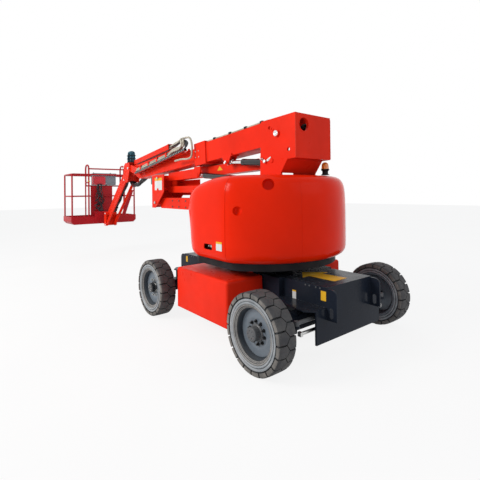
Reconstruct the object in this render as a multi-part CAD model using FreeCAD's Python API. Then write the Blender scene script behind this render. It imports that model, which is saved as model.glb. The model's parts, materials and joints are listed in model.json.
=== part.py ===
import FreeCAD, Part
import math
import os

V = FreeCAD.Vector

# Self-propelled electric articulating boom lift, in millimetres.
# Every size below is given from the slewing axis: +X towards the basket, +Y to
# the machine's left, +Z up, ground at zero. The finished pieces are then moved
# so that the origin lies on the ground at mid-length and mid-width.

# Overall running gear
WHEELBASE = 2048.0
OVERALL_WIDTH = 2140.0
TYRE_RADIUS = 360.0
TYRE_WIDTH = 210.0
TYRE_BORE_RADIUS = 235.0
TYRE_SHOULDER_RADIUS = 338.0
TYRE_BEAD_WIDTH = 172.0
TYRE_BEAD_RISE = 8.0
TYRE_SIDE_RISE = 26.0
TYRE_SHOULDER_WIDTH = 22.0
RIM_FLANGE_RADIUS = 256.0
RIM_OPENING_RADIUS = 223.0
RIM_DISC_THICKNESS = 14.0
RIM_DISC_DISH = 62.0
RIM_FLANGE_THICKNESS = 10.0
RIM_WELL_THICKNESS = 12.0
HUB_RADIUS = 62.0
HUB_PROUD = 20.0
HUB_DEPTH = 70.0
HUB_CAP_THICKNESS = 10.0
SPINDLE_RADIUS = 45.0
SPINDLE_ROOT = 60.0
DRIVE_RADIUS = 95.0
RUNNING_CLEARANCE = 0.05
SIDE_CLEARANCE = 5.0
AXLE_X = WHEELBASE / 2
WHEEL_MID_Y = OVERALL_WIDTH / 2 - TYRE_WIDTH / 2
SPINDLE_END_Y = WHEEL_MID_Y + TYRE_BEAD_WIDTH / 2 - HUB_CAP_THICKNESS - SIDE_CLEARANCE
HUB_INNER_Y = WHEEL_MID_Y + TYRE_BEAD_WIDTH / 2 - RIM_DISC_DISH - HUB_DEPTH

# Reach of the boxes that only cut or keep one side of a piece
FAR = 2000.0

# Axles and steering
AXLE_BEAM_LENGTH = 140.0
AXLE_BEAM_BOTTOM = 290.0
AXLE_BEAM_TOP = 430.0
AXLE_MID_Z = (AXLE_BEAM_BOTTOM + AXLE_BEAM_TOP) / 2
AXLE_END_MARGIN = 75.0
SADDLE_HALF_LENGTH = 100.0
SADDLE_HALF_WIDTH = 230.0
KINGPIN_INSET = 370.0
KINGPIN_Y = OVERALL_WIDTH / 2 - KINGPIN_INSET
KINGPIN_RADIUS = 30.0
KINGPIN_EAR_THICKNESS = 30.0
KINGPIN_EAR_RADIUS = 62.0
KINGPIN_EAR_ROOT = 80.0
KINGPIN_EAR_GAP = 8.0
KINGPIN_CAP = 8.0
KNUCKLE_RADIUS = 55.0
KNUCKLE_GAP = 0.4
KNUCKLE_NECK_HALF_WIDTH = 50.0
KNUCKLE_NECK_LENGTH = 82.0
KNUCKLE_NECK_MARGIN = 5.0
STEER_ARM_REACH = 200.0
STEER_ARM_THICKNESS = 24.0
STEER_ARM_HALF_WIDTH = 24.0
STEER_ARM_NOSE_RADIUS = 28.0
STEER_ARM_ROOT = 20.0
STEER_ARM_Z = AXLE_MID_Z + 20.0
TIE_ROD_RADIUS = 18.0
TIE_ROD_GAP = 4.0
TIE_ROD_END_RADIUS = 24.0
TIE_ROD_END_MARGIN = 3.0
STEER_PIN_RADIUS = 14.0
STEER_PIN_TAIL = 6.0
STEER_BARREL_RADIUS = 36.0
STEER_BARREL_LENGTH = 420.0
STEER_BARREL_WALL = 8.0
STEER_BARREL_END = 20.0
STEER_LINE = (-AXLE_X - STEER_ARM_REACH, AXLE_MID_Z - 40.0)
STEER_BRACKET_HALF_LENGTH = 150.0
STEER_BRACKET_HALF_HEIGHT = 20.0
STEER_ROD_RADIUS = 16.0
STEER_ROD_REACH = KINGPIN_Y - 60.0
STEER_PISTON_HALF_LENGTH = 20.0
STEER_YOKE_HALF_WIDTH = 20.0
STEER_YOKE_LENGTH = 28.0

# Chassis
DECK_TOP = 700.0
BELLY = 200.0
CHASSIS_END_X = 1300.0
FENDER_CORNER_X = 1210.0
FENDER_NECK_X = AXLE_X - 40.0
FENDER_NECK_INSET = 35.0
DECK_HALF_WIDTH = 370.0
LOWER_HALF_WIDTH = 520.0
CENTRE_HALF_WIDTH = 435.0
CENTRE_HALF_LENGTH = 740.0
SHELF_Z = 500.0
SHELF_THICKNESS = 14.0
FENDER_HALF_WIDTH = 600.0
CHASSIS_WALL = 15.0
END_PLATE_THICKNESS = 20.0
BELLY_ACCESS_RADIUS = 150.0
LUG_REACH = 110.0
LUG_THICKNESS = 20.0
LUG_BOTTOM = 400.0
LUG_CORNER_RADIUS = 58.0
LUG_TOP_DROP = 10.0
LUG_SLOT_WIDTH = 40.0
LUG_SLOT_LENGTH = 100.0
LUG_SLOT_Z = 470.0
LUG_SLOT_X = 1352.0
SLEW_RING_RADIUS = 380.0
SLEW_RING_BORE = 290.0
SLEW_RING_HEIGHT = 45.0

# Battery boxes on the chassis sides
BATTERY_X0 = -500.0
BATTERY_X1 = 530.0
BATTERY_Y0 = 450.0
BATTERY_Y1 = 930.0
BATTERY_Z0 = 220.0
BATTERY_Z1 = 695.0
BATTERY_EDGE_RADIUS = 30.0
BATTERY_RAIL_INSET = 60.0
BATTERY_RAIL_HEIGHT = 60.0
BATTERY_RAIL_FEET = (300.0, 560.0)

# Turntable and hoods
SLEW_GAP = 0.5
UPPER_RACE_HEIGHT = 35.0
TURNTABLE_THICKNESS = 30.0
TURNTABLE_FRONT_X = 530.0
TURNTABLE_INSET = 125.0
SILL_WIDTH = 60.0
RACE_Z0 = DECK_TOP + SLEW_RING_HEIGHT + SLEW_GAP
TABLE_Z0 = RACE_Z0 + UPPER_RACE_HEIGHT
TABLE_Z1 = TABLE_Z0 + TURNTABLE_THICKNESS
RACE_STEP = 20.0
HOOD_BOTTOM = 862.0
HOOD_TOP = 1785.0
HOOD_TAIL_RADIUS = 1030.0
HOOD_TAIL_BULGE = 110.0
HOOD_HALF_WIDTH = HOOD_TAIL_RADIUS - HOOD_TAIL_BULGE
HOOD_TAIL_X = -math.sqrt(HOOD_TAIL_RADIUS**2 - HOOD_HALF_WIDTH**2)
HOOD_FRONT_X = 630.0
HOOD_NOSE_HALF_WIDTH = HOOD_HALF_WIDTH - 360.0
HOOD_FRONT_CORNERS = [(250.0, HOOD_HALF_WIDTH), (505.0, HOOD_HALF_WIDTH - 145.0)]
HOOD_FRONT_SLOPE = [(540.0, HOOD_BOTTOM - 1), (630.0, 1470.0), (280.0, 1690.0), (-120.0, HOOD_TOP + 1)]
HOOD_WALL = 25.0
HOOD_TOP_RADIUS = 110.0
HOOD_BOTTOM_RADIUS = 105.0
HOOD_FLANGE_INSET = 160.0
HOOD_CORNER_RADIUS = 200.0
HOOD_SLOT_Y = 300.0
HOOD_SLOT_END_X = -720.0
HOOD_SEAM_X = HOOD_TAIL_X + 13.0
HOOD_REAR_SEAM_Y = 330.0
HOOD_SEAM_GAP = 6.0
DOOR_LIFT = 5.0
HINGE_STAND_OFF = 12.0
HINGE_Y = HOOD_HALF_WIDTH + HINGE_STAND_OFF
HINGE_BARREL_RADIUS = 10.0
HINGE_PIN_RADIUS = 5.0
HINGE_BARREL_LENGTH = 60.0
HINGE_LEAF_LENGTH = 30.0
HINGE_LEAF_DEPTH = 12.0
HINGE_GAP = 1.0
HINGE_HEIGHTS = [960.0, 1360.0]
COUNTERWEIGHT_TOP = 1400.0
COUNTERWEIGHT_LENGTH = 330.0
COUNTERWEIGHT_FRONT_X = COUNTERWEIGHT_LENGTH - HOOD_TAIL_RADIUS
COUNTERWEIGHT_CLEARANCE = 10.0
COUNTERWEIGHT_INSET = 40.0
POST_Y = 205.0
POST_THICKNESS = 25.0
POST_REAR_X = COUNTERWEIGHT_FRONT_X + COUNTERWEIGHT_CLEARANCE
POST_FRONT_X = 380.0
POST_FOOT_HEIGHT = 120.0
POST_PIN_CAP = 12.0
POWER_X0 = -250.0
POWER_X1 = 300.0
POWER_Y0 = 330.0
POWER_Y1 = HOOD_HALF_WIDTH - 230.0
POWER_UNIT_TOP = 1320.0
OIL_TANK_TOP = 1240.0
BEACON_X = 230.0 - HOOD_TAIL_RADIUS
BEACON_Y = -270.0
BEACON_RADIUS = 48.0
BEACON_BASE_RADIUS = 36.0
BEACON_BASE_HEIGHT = 67.5
BEACON_HEIGHT = 150.0
BEACON_DOME_RADIUS = 21.6

# Riser arms: pins in the side view, given as (x, z)
LOWER_PIVOT = (-450.0, 1420.0)
LOWER_REACH = (3050.0, 15.0)
LOWER_LINK_OFFSET = (-100.0, 230.0)
LOWER_ARM_HALF_WIDTH = 130.0
LOWER_ARM_UP = 85.0
LOWER_ARM_DOWN = 100.0
LOWER_BOSS_GAP = 8.0
LINK_Y0 = -150.0
LINK_Y1 = 25.0
LOWER_LINK_HALF_DEPTH = 56.0
MID_LOWER_PIN = (LOWER_PIVOT[0] + LOWER_REACH[0], LOWER_PIVOT[1] + LOWER_REACH[1])
MID_UPPER_PIN = (2500.0, 1870.0)
UPPER_REACH = (-3000.0, 80.0)
UPPER_LINK_OFFSET = (28.0, 70.0)
UPPER_ARM_Y0 = -140.0
UPPER_ARM_Y1 = 30.0
UPPER_ARM_UP = 91.0
UPPER_ARM_DOWN = 54.0
UPPER_LINK_Y0 = -190.0
UPPER_LINK_Y1 = -152.0
UPPER_LINK_HALF_DEPTH = 30.0
TOWER_UPPER_PIN = (MID_UPPER_PIN[0] + UPPER_REACH[0], MID_UPPER_PIN[1] + UPPER_REACH[1])
ARM_WALL = 10.0
ARM_CAP_INSET = 60.0
ARM_CAP_STEP = 2.0
ARM_NECK_LENGTH = 70.0
ARM_NECK_HALF_DEPTH = 45.0
ARM_PIN_RADIUS = 26.0
BOSS_RADIUS = 50.0
MID_PLATE_Y = 195.0
MID_PLATE_THICKNESS = 15.0
MID_REAR_REACH = 220.0
MID_FRONT_REACH = 240.0
MID_TOP_RISE = 55.0
MID_FOOT_DROP = 95.0
MID_PIN_CAP = 10.0
MID_EAR_RADIUS = 46.0
MID_EAR_HALF_LENGTH = 60.0
MID_EAR_FOOT = 30.0
GUSSET_THICKNESS = 12.0
GUSSET_REACH = 500.0
GUSSET_FRONT_INSET = 40.0
GUSSET_FOOT_RISE = 125.0
GUSSET_TOP_DROP = 40.0

# Hydraulic cylinders, all in one plane beside the riser arms
CYLINDER_Y = 100.0
CYLINDER_EYE_HALF_WIDTH = 38.0
CYLINDER_EYE_RADIUS = 45.0
CYLINDER_PIN_RADIUS = 22.0
BARREL_RADIUS = 42.0
BARREL_WALL = 8.0
GLAND_RADIUS = 44.0
GLAND_LENGTH = 60.0
ROD_RADIUS = 27.0
PISTON_LENGTH = 40.0
BARREL_END_THICKNESS = 20.0
ROD_START = 40.0
ROD_COLLAR_MARGIN = 9.0
ROD_COLLAR_LENGTH = 36.0
EAR_GAP = 7.0
EAR_THICKNESS = 14.0
EAR_RADIUS = 42.0
PIN_HEAD_MARGIN = 6.0
PIN_HEAD_THICKNESS = 10.0
RISER_BASE_PIN = (-300.0, 1720.0)
RISER_EYE_PIN = (1270.0, 1870.0)
RISER_BARREL_LENGTH = 1455.0
LIFT_BASE_PIN = (-402.0, 1946.0)
LIFT_EYE_PIN = (525.0, 2015.0)
LIFT_BARREL_LENGTH = 640.0

# Tower head
TOWER_HALF_WIDTH = 290.0
TOWER_WALL = 25.0
TOWER_REAR_X = -860.0
TOWER_TOP_REAR = 2432.0
TOWER_TOP_FRONT = 2408.0
TOWER_FRONT_X = -318.0
TOWER_BOTTOM_REAR = 1955.0
TOWER_LEG_BOTTOM = 1745.0
TOWER_LEG_CORNER_Z = 1806.0
TOWER_FLOOR_THICKNESS = 20.0
TOWER_LEG_SLANT = (-12.0, 14.0)
TOWER_PIN_CAP = 16.0
TOWER_LEG_REAR_X = -642.0
TOWER_NOTCH_X = -742.0
TOWER_ROOF_LENGTH = 70.0
TOWER_PORT_Y = 156.0
TOWER_PORT_Z = 2315.0
TOWER_PORT_RADIUS = 71.0
TOWER_HOLES = [(-469.0, 2318.0), (-759.0, 2052.0)]
TOWER_HOLE_RADIUS = 20.0
BOOM_PIVOT = (-592.0, 2240.0)
BOOM_PIN_RADIUS = 38.0

# Telescopic boom, sloping down to the front
BOOM_ANGLE = -4.2
BOOM_AXIS_RISE = 80.0
OUTER_HALF_WIDTH = 140.0
OUTER_HALF_DEPTH = 146.0
OUTER_WALL = 10.0
OUTER_REAR = -60.0
OUTER_LENGTH = 1930.0
COLLAR_LENGTH = 300.0
COLLAR_THICKNESS = 24.0
PAD_LENGTH = 120.0
PAD_HALF_WIDTH = 60.0
PAD_GAP = 0.4
PAD_INSET = 10.0
BOOM_BOSS_RADIUS = 78.0
BOOM_BOSS_GAP = 3.0
CHEEK_THICKNESS = 12.0
CHEEK_LENGTH = 120.0
LIFT_PAD_HALF_LENGTH = 120.0
LIFT_PAD_THICKNESS = 10.0
FLY_HALF_WIDTH = 108.0
FLY_HALF_DEPTH = 116.0
FLY_WALL = 8.0
FLY_START = 60.0
FLY_PAD_LENGTH = 90.0
FLY_NOSE_LENGTH = 520.0
FLY_END_GAP = 90.0
FLY_EAR_REACH = 420.0
KNUCKLE_PIN = (4050.0, 2140.0)
KNUCKLE_PIN_RADIUS = 25.0
FLY_EAR_RADIUS = 62.0
FLY_EAR_THICKNESS = 18.0

# Hose tube, tray and hoses on the fly boom
HOSE_TUBE_REAR = (2400.0, 2428.0)
HOSE_TUBE_FRONT = (3930.0, 2256.0)
HOSE_TUBE_SIZE = 95.0
HOSE_TUBE_WALL = 4.0
LOWER_TUBE_REAR = (2150.0, 2305.0)
LOWER_TUBE_FRONT = (3900.0, 2166.0)
LOWER_TUBE_SIZE = 56.0
HOSE_WEB_THICKNESS = 8.0
HOSE_WEB_REAR_INSET = 60.0
HOSE_WEB_FRONT_INSET = 280.0
HOSE_FOOT_HALF_LENGTH = 60.0
HOSE_FOOT_MARGIN = 20.0
HOSE_FOOT_RISE = 8.0
TRAY_X1 = 3560.0
TRAY_CLEARANCE = 155.0
TRAY_REAR_RISE = 95.0
TRAY_FRONT_RISE = -45.0
TRAY_Y0 = 128.0
TRAY_WIDTH = 110.0
TRAY_HEIGHT = 60.0
TRAY_THICKNESS = 4.0
TRAY_LIP_HEIGHT = 21.0
TRAY_ARM_LENGTH = 40.0
TRAY_ARM_HEIGHT = 50.0
CHAIN_HEIGHT = 46.0
CHAIN_WIDTH = 48.0
CONDUIT_RADIUS = 20.0
CONDUIT_LOOP_AHEAD = 360.0
KNUCKLE_HOSE_RADIUS = 22.0
KNUCKLE_HOSE_LANES = (-6.0, 42.0, 90.0)
JIB_HOSE_RADIUS = 20.0
JIB_HOSE_Y = 24.0
JIB_HOSE_START = 260.0
JIB_HOSE_END = 200.0
JIB_CLIP_PLACES = (300.0, 800.0, 1250.0)
JIB_CLIP_LENGTH = 30.0
JIB_CLIP_HALF_WIDTH = 50.0
JIB_CLIP_MARGIN = 6.0

# Jib and platform carrier
JIB_PIN_OFFSET = (230.0, 20.0)
JIB_LINK_DROP = 260.0
JIB_REACH = (1240.0, -1040.0)
JIB_ARM_HALF_WIDTH = 60.0
JIB_ARM_HALF_DEPTH = 70.0
JIB_ARM_WALL = 8.0
JIB_LINK_Y0 = 85.0
JIB_LINK_Y1 = 110.0
JIB_LINK_HALF_DEPTH = 40.0
JIB_PIN_RADIUS = 20.0
HEAD_PLATE_Y = 116.0
HEAD_PLATE_THICKNESS = 14.0
HEAD_ROOF_RISE = 84.0
HEAD_ROOF_THICKNESS = 16.0
HEAD_WEB_X = KNUCKLE_PIN[0] + 130.0
HEAD_PIN_CAP = 8.0
JIB_CAP_INSET = 40.0
JIB_BOSS_RADIUS = 48.0
JIB_BOSS_GAP = 6.0
JIB_NECK_LENGTH = 60.0
JIB_NECK_HALF_DEPTH = 40.0
LINK_PIN_START = 12.0
JIB_TOP_PIN = (KNUCKLE_PIN[0] + JIB_PIN_OFFSET[0], KNUCKLE_PIN[1] + JIB_PIN_OFFSET[1])
JIB_LOW_PIN = (JIB_TOP_PIN[0], JIB_TOP_PIN[1] - JIB_LINK_DROP)
CARRIER_TOP_PIN = (JIB_TOP_PIN[0] + JIB_REACH[0], JIB_TOP_PIN[1] + JIB_REACH[1])
CARRIER_LOW_PIN = (JIB_LOW_PIN[0] + JIB_REACH[0], JIB_LOW_PIN[1] + JIB_REACH[1])
ROTATOR_X = 5725.0
ROTATOR_RADIUS = 75.0
ROTATOR_SHAFT_RADIUS = 36.0
ROTATOR_Z0 = 880.0
ROTATOR_Z1 = 1140.0
ROTATOR_GAP = 1.0
ROTATOR_NECK_INSET = 20.0
CARRIER_WEB_OFFSET = 84.0
CARRIER_WEB_THICKNESS = 30.0
MOUNT_PLATE_THICKNESS = 22.0
MOUNT_PLATE_HALF_WIDTH = 260.0
MOUNT_BACK_THICKNESS = 20.0

# Basket
BASKET_REAR_X = 5940.0
BASKET_FRONT_X = 6700.0
BASKET_HALF_WIDTH = 810.0
BASKET_BOTTOM = 856.0
FLOOR_FRAME_HEIGHT = 64.0
FLOOR_CHAMFER = 64.0
TOE_BOARD_TOP = 1045.0
TOE_BOARD_THICKNESS = 10.0
RAIL_SIZE = 38.0
TOP_RAIL_Z = 2110.0
MID_RAIL_Z = 1550.0
GUARD_TOP_Z = 2350.0
GUARD_Y0 = -500.0
GUARD_Y1 = 390.0
GUARD_DEPTH = 260.0
GUARD_TIE_DROP = 218.0
FRONT_POST_Y = 270.0
RAIL_X0 = BASKET_REAR_X + TOE_BOARD_THICKNESS + RAIL_SIZE / 2
RAIL_X1 = BASKET_FRONT_X - TOE_BOARD_THICKNESS - RAIL_SIZE / 2
RAIL_Y = BASKET_HALF_WIDTH - TOE_BOARD_THICKNESS - RAIL_SIZE / 2
RAIL_FOOT = BASKET_BOTTOM + FLOOR_FRAME_HEIGHT
TOP_RAIL_MID_Z = TOP_RAIL_Z - RAIL_SIZE / 2
BRACE_TOP_Z = 1700.0
CONTROL_BOX = (5988.0, 6230.0, -310.0, 270.0, 1830.0, 2130.0)
PANEL_THICKNESS = 8.0
PANEL_Y0 = -200.0
PANEL_Y1 = 340.0
PANEL_TOP = 1800.0

# Mid-length of the machine, from the basket's front to the rear tie-down lugs
X_MID = (BASKET_FRONT_X - CHASSIS_END_X - LUG_REACH) / 2.0


def box(x0, x1, y0, y1, z0, z1):
    return Part.makeBox(x1 - x0, y1 - y0, z1 - z0, V(x0, y0, z0))


def rod_y(pin, radius, y0, y1):
    return Part.makeCylinder(radius, y1 - y0, V(pin[0], y0, pin[1]), V(0, 1, 0))


def rod_z(x, y, radius, z0, z1):
    return Part.makeCylinder(radius, z1 - z0, V(x, y, z0), V(0, 0, 1))


def ring_z(radius, bore, z0, z1):
    return rod_z(0, 0, radius, z0, z1).cut(rod_z(0, 0, bore, z0 - 1, z1 + 1))


def rod_between(a, b, radius):
    return Part.makeCylinder(radius, (b - a).Length, a, b - a)


def prism_xz(points, y0, y1):
    corners = [V(x, y0, z) for x, z in points]
    face = Part.Face(Part.makePolygon(corners + corners[:1]))
    return face.extrude(V(0, y1 - y0, 0))


def prism_yz(points, x0, x1):
    corners = [V(x0, y, z) for y, z in points]
    face = Part.Face(Part.makePolygon(corners + corners[:1]))
    return face.extrude(V(x1 - x0, 0, 0))


def prism_xy(points, z0, z1):
    corners = [V(x, y, z0) for x, y in points]
    face = Part.Face(Part.makePolygon(corners + corners[:1]))
    return face.extrude(V(0, 0, z1 - z0))


def mirrored(shape):
    return shape.mirror(V(0, 0, 0), V(0, 1, 0))


def both_sides(shape):
    return [shape, mirrored(shape)]


def fused(shapes):
    result = shapes[0].multiFuse(shapes[1:]) if len(shapes) > 1 else shapes[0]
    return result.removeSplitter()


def cut(shape, tools):
    return shape.cut(tools[0].multiFuse(tools[1:]) if len(tools) > 1 else tools[0])


def unit(a, b):
    length = math.hypot(b[0] - a[0], b[1] - a[1])
    return (b[0] - a[0]) / length, (b[1] - a[1]) / length, length


def along(a, b, distance, rise=0.0):
    """Point at a distance from a towards b, raised at right angles to the line."""
    ux, uz, _ = unit(a, b)
    return a[0] + ux * distance - uz * rise, a[1] + uz * distance + ux * rise


def bar(a, b, start, end, down, up, y0, y1):
    """Rectangular bar along the line from a to b, in the side view."""
    corners = [along(a, b, start, -down), along(a, b, end, -down)]
    corners += [along(a, b, end, up), along(a, b, start, up)]
    return prism_xz(corners, y0, y1)


def tube_bar(a, b, start, end, down, up, y0, y1, wall):
    """Rectangular tube along the line from a to b, open at both ends."""
    outer = bar(a, b, start, end, down, up, y0, y1)
    inner = bar(a, b, start - 1, end + 1, down - wall, up - wall, y0 + wall, y1 - wall)
    return outer.cut(inner)


def sweep(points, radius):
    """Round hose through the points: straight runs joined by tangent arcs."""
    points = [V(*p) for p in points]
    edges = []
    here = points[0]
    for before, corner, after in zip(points, points[1:], points[2:]):
        d0 = (corner - before).normalize()
        d1 = (after - corner).normalize()
        half_turn = d0.getAngle(d1) / 2.0
        shorter = min((corner - before).Length, (after - corner).Length)
        setback = 0.45 * shorter
        start = corner - d0 * setback
        end = corner + d1 * setback
        bend = setback / math.tan(half_turn)
        inward = (d1 - d0).normalize()
        middle = corner + inward * (bend / math.cos(half_turn) - bend)
        edges.append(Part.LineSegment(here, start).toShape())
        edges.append(Part.Arc(start, middle, end).toShape())
        here = end
    edges.append(Part.LineSegment(here, points[-1]).toShape())
    path = Part.Wire(edges)
    first = (points[1] - points[0]).normalize()
    ring = Part.Wire([Part.Circle(points[0], first, radius).toShape()])
    return path.makePipeShell([ring], True, False)


def save(name, shape):
    moved = shape.copy()
    moved.translate(V(-X_MID, 0, 0))
    moved.exportStep("parts/" + name + ".step")


# Wheels

def rim(x, y_sign):
    half = TYRE_BEAD_WIDTH / 2
    flange = half + RIM_FLANGE_THICKNESS
    centre = (x, TYRE_RADIUS)
    disc_y = WHEEL_MID_Y + half - RIM_DISC_DISH
    profile = [(RIM_OPENING_RADIUS, -flange), (RIM_FLANGE_RADIUS, -flange), (RIM_FLANGE_RADIUS, -half),
               (TYRE_BORE_RADIUS, -half), (TYRE_BORE_RADIUS, half), (RIM_FLANGE_RADIUS, half),
               (RIM_FLANGE_RADIUS, flange), (RIM_OPENING_RADIUS, flange)]
    ring = revolve_y(profile, x)
    disc = rod_y(centre, RIM_OPENING_RADIUS + RIM_WELL_THICKNESS / 2, disc_y - RIM_DISC_THICKNESS, disc_y)
    hub = rod_y(centre, HUB_RADIUS, disc_y - HUB_DEPTH, WHEEL_MID_Y + half + HUB_PROUD)
    bore = rod_y(centre, SPINDLE_RADIUS, disc_y - HUB_DEPTH - 1, WHEEL_MID_Y + half - HUB_CAP_THICKNESS)
    wheel = fused([ring, disc, hub]).cut(bore)
    return wheel if y_sign > 0 else mirrored(wheel)


def revolve_y(profile, x):
    """Ring turned about the wheel's axle from (radius, offset) points."""
    corners = [V(x + r, WHEEL_MID_Y + offset, TYRE_RADIUS) for r, offset in profile]
    face = Part.Face(Part.makePolygon(corners + corners[:1]))
    return face.revolve(V(x, WHEEL_MID_Y, TYRE_RADIUS), V(0, 1, 0), 360)


def tyre(x, y_sign):
    bead = TYRE_BEAD_WIDTH / 2
    side = TYRE_WIDTH / 2
    bead_r = RIM_FLANGE_RADIUS + TYRE_BEAD_RISE
    side_r = RIM_FLANGE_RADIUS + TYRE_SIDE_RISE
    tread = side - TYRE_SHOULDER_WIDTH
    profile = [(TYRE_BORE_RADIUS, -bead), (bead_r, -bead), (side_r, -side), (TYRE_SHOULDER_RADIUS, -side),
               (TYRE_RADIUS, -tread), (TYRE_RADIUS, tread), (TYRE_SHOULDER_RADIUS, side), (side_r, side),
               (bead_r, bead), (TYRE_BORE_RADIUS, bead)]
    ring = revolve_y(profile, x)
    return ring if y_sign > 0 else mirrored(ring)


def spindle(x):
    radius = SPINDLE_RADIUS - RUNNING_CLEARANCE
    return rod_y((x, TYRE_RADIUS), radius, HUB_INNER_Y - SPINDLE_ROOT, SPINDLE_END_Y)


def drive_housing(x):
    inner_y = KINGPIN_Y + KINGPIN_EAR_RADIUS + KINGPIN_EAR_GAP
    return rod_y((x, TYRE_RADIUS), DRIVE_RADIUS, inner_y, HUB_INNER_Y - SIDE_CLEARANCE)


def saddle(x):
    """Block that seats an axle beam under the fender shelf."""
    return box(x - SADDLE_HALF_LENGTH, x + SADDLE_HALF_LENGTH, -SADDLE_HALF_WIDTH, SADDLE_HALF_WIDTH,
               AXLE_BEAM_TOP, SHELF_Z)


def axle_front():
    half = AXLE_BEAM_LENGTH / 2
    beam_end = KINGPIN_Y + AXLE_END_MARGIN
    beam = box(AXLE_X - half, AXLE_X + half, -beam_end, beam_end, AXLE_BEAM_BOTTOM, AXLE_BEAM_TOP)
    ends = both_sides(drive_housing(AXLE_X)) + both_sides(spindle(AXLE_X))
    return fused([beam, saddle(AXLE_X)] + ends)


def axle_rear():
    """Rear beam with the kingpin ears and the steering cylinder's bracket."""
    x0 = -AXLE_X - AXLE_BEAM_LENGTH / 2
    x1 = -AXLE_X + AXLE_BEAM_LENGTH / 2
    beam_end = KINGPIN_Y - KINGPIN_EAR_RADIUS - KINGPIN_EAR_GAP
    beam = box(x0, x1, -beam_end, beam_end, AXLE_BEAM_BOTTOM, AXLE_BEAM_TOP)
    ears = []
    for z0 in (AXLE_BEAM_BOTTOM - KINGPIN_EAR_THICKNESS, AXLE_BEAM_TOP):
        z1 = z0 + KINGPIN_EAR_THICKNESS
        plate = box(x0, x1, beam_end - KINGPIN_EAR_ROOT, KINGPIN_Y, z0, z1)
        nose = rod_z(-AXLE_X, KINGPIN_Y, KINGPIN_EAR_RADIUS, z0, z1)
        bore = rod_z(-AXLE_X, KINGPIN_Y, KINGPIN_RADIUS + RUNNING_CLEARANCE, z0 - 1, z1 + 1)
        ears += both_sides(plate.fuse(nose).cut(bore))
    steer_x, steer_z = STEER_LINE
    half = STEER_BRACKET_HALF_HEIGHT
    bracket = box(steer_x + STEER_BARREL_RADIUS, x0, -STEER_BRACKET_HALF_LENGTH, STEER_BRACKET_HALF_LENGTH,
                  steer_z - half, steer_z + half)
    return fused([beam, saddle(-AXLE_X), bracket] + ears)


def knuckle():
    """Left knuckle: kingpin, hub carrier and steering arm."""
    z0 = AXLE_BEAM_BOTTOM + KNUCKLE_GAP
    z1 = AXLE_BEAM_TOP - KNUCKLE_GAP
    x = -AXLE_X
    y = KINGPIN_Y
    body = rod_z(x, y, KNUCKLE_RADIUS, z0, z1)
    pin_tail = KINGPIN_EAR_THICKNESS + KINGPIN_CAP
    pin = rod_z(x, y, KINGPIN_RADIUS, AXLE_BEAM_BOTTOM - pin_tail, AXLE_BEAM_TOP + pin_tail)
    neck = box(x - KNUCKLE_NECK_HALF_WIDTH, x + KNUCKLE_NECK_HALF_WIDTH, y, y + KNUCKLE_NECK_LENGTH,
               z0 + KNUCKLE_NECK_MARGIN, z1 - KNUCKLE_NECK_MARGIN)
    arm_x = x - STEER_ARM_REACH
    arm_top = STEER_ARM_Z + STEER_ARM_THICKNESS
    arm = box(arm_x, x - STEER_ARM_ROOT, y - STEER_ARM_HALF_WIDTH, y + STEER_ARM_HALF_WIDTH,
              STEER_ARM_Z, arm_top)
    nose = rod_z(arm_x, y, STEER_ARM_NOSE_RADIUS, STEER_ARM_Z, arm_top)
    bore = rod_z(arm_x, y, STEER_PIN_RADIUS + RUNNING_CLEARANCE, STEER_ARM_Z - 1, arm_top + 1)
    return fused([body, pin, drive_housing(x), neck, arm, nose, spindle(x)]).cut(bore)


def tie_rod():
    """Cross rod above the steering arms, with a ball pin down into each."""
    x = -AXLE_X - STEER_ARM_REACH
    z_rod = STEER_ARM_Z + STEER_ARM_THICKNESS + TIE_ROD_RADIUS + TIE_ROD_GAP
    half = TIE_ROD_RADIUS + TIE_ROD_END_MARGIN
    pieces = [rod_y((x, z_rod), TIE_ROD_RADIUS, -KINGPIN_Y, KINGPIN_Y)]
    for y in (-KINGPIN_Y, KINGPIN_Y):
        pieces.append(rod_z(x, y, TIE_ROD_END_RADIUS, z_rod - half, z_rod + half))
        pieces.append(rod_z(x, y, STEER_PIN_RADIUS, STEER_ARM_Z - STEER_PIN_TAIL, z_rod))
    return fused(pieces)


def steer_barrel():
    """Steering cylinder, clamped to the beam along the axle."""
    half = STEER_BARREL_LENGTH / 2
    outer = rod_y(STEER_LINE, STEER_BARREL_RADIUS, -half, half)
    room = half - STEER_BARREL_END
    inner = rod_y(STEER_LINE, STEER_BARREL_RADIUS - STEER_BARREL_WALL, -room, room)
    passage = rod_y(STEER_LINE, STEER_ROD_RADIUS + RUNNING_CLEARANCE, -half - 1, half + 1)
    return outer.cut(inner).cut(passage)


def steer_rod():
    """Through rod of the steering cylinder, its ends open to the arms."""
    x, z = STEER_LINE
    shaft = rod_y(STEER_LINE, STEER_ROD_RADIUS, -STEER_ROD_REACH, STEER_ROD_REACH)
    piston_radius = STEER_BARREL_RADIUS - STEER_BARREL_WALL - RUNNING_CLEARANCE
    piston = rod_y(STEER_LINE, piston_radius, -STEER_PISTON_HALF_LENGTH, STEER_PISTON_HALF_LENGTH)
    half = STEER_YOKE_HALF_WIDTH
    yoke_end = STEER_ROD_REACH + STEER_YOKE_LENGTH
    yoke = box(x - half, x + half, STEER_ROD_REACH - 2, yoke_end, z - half, z + half)
    return fused([shaft, piston] + both_sides(yoke))


# Chassis

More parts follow.
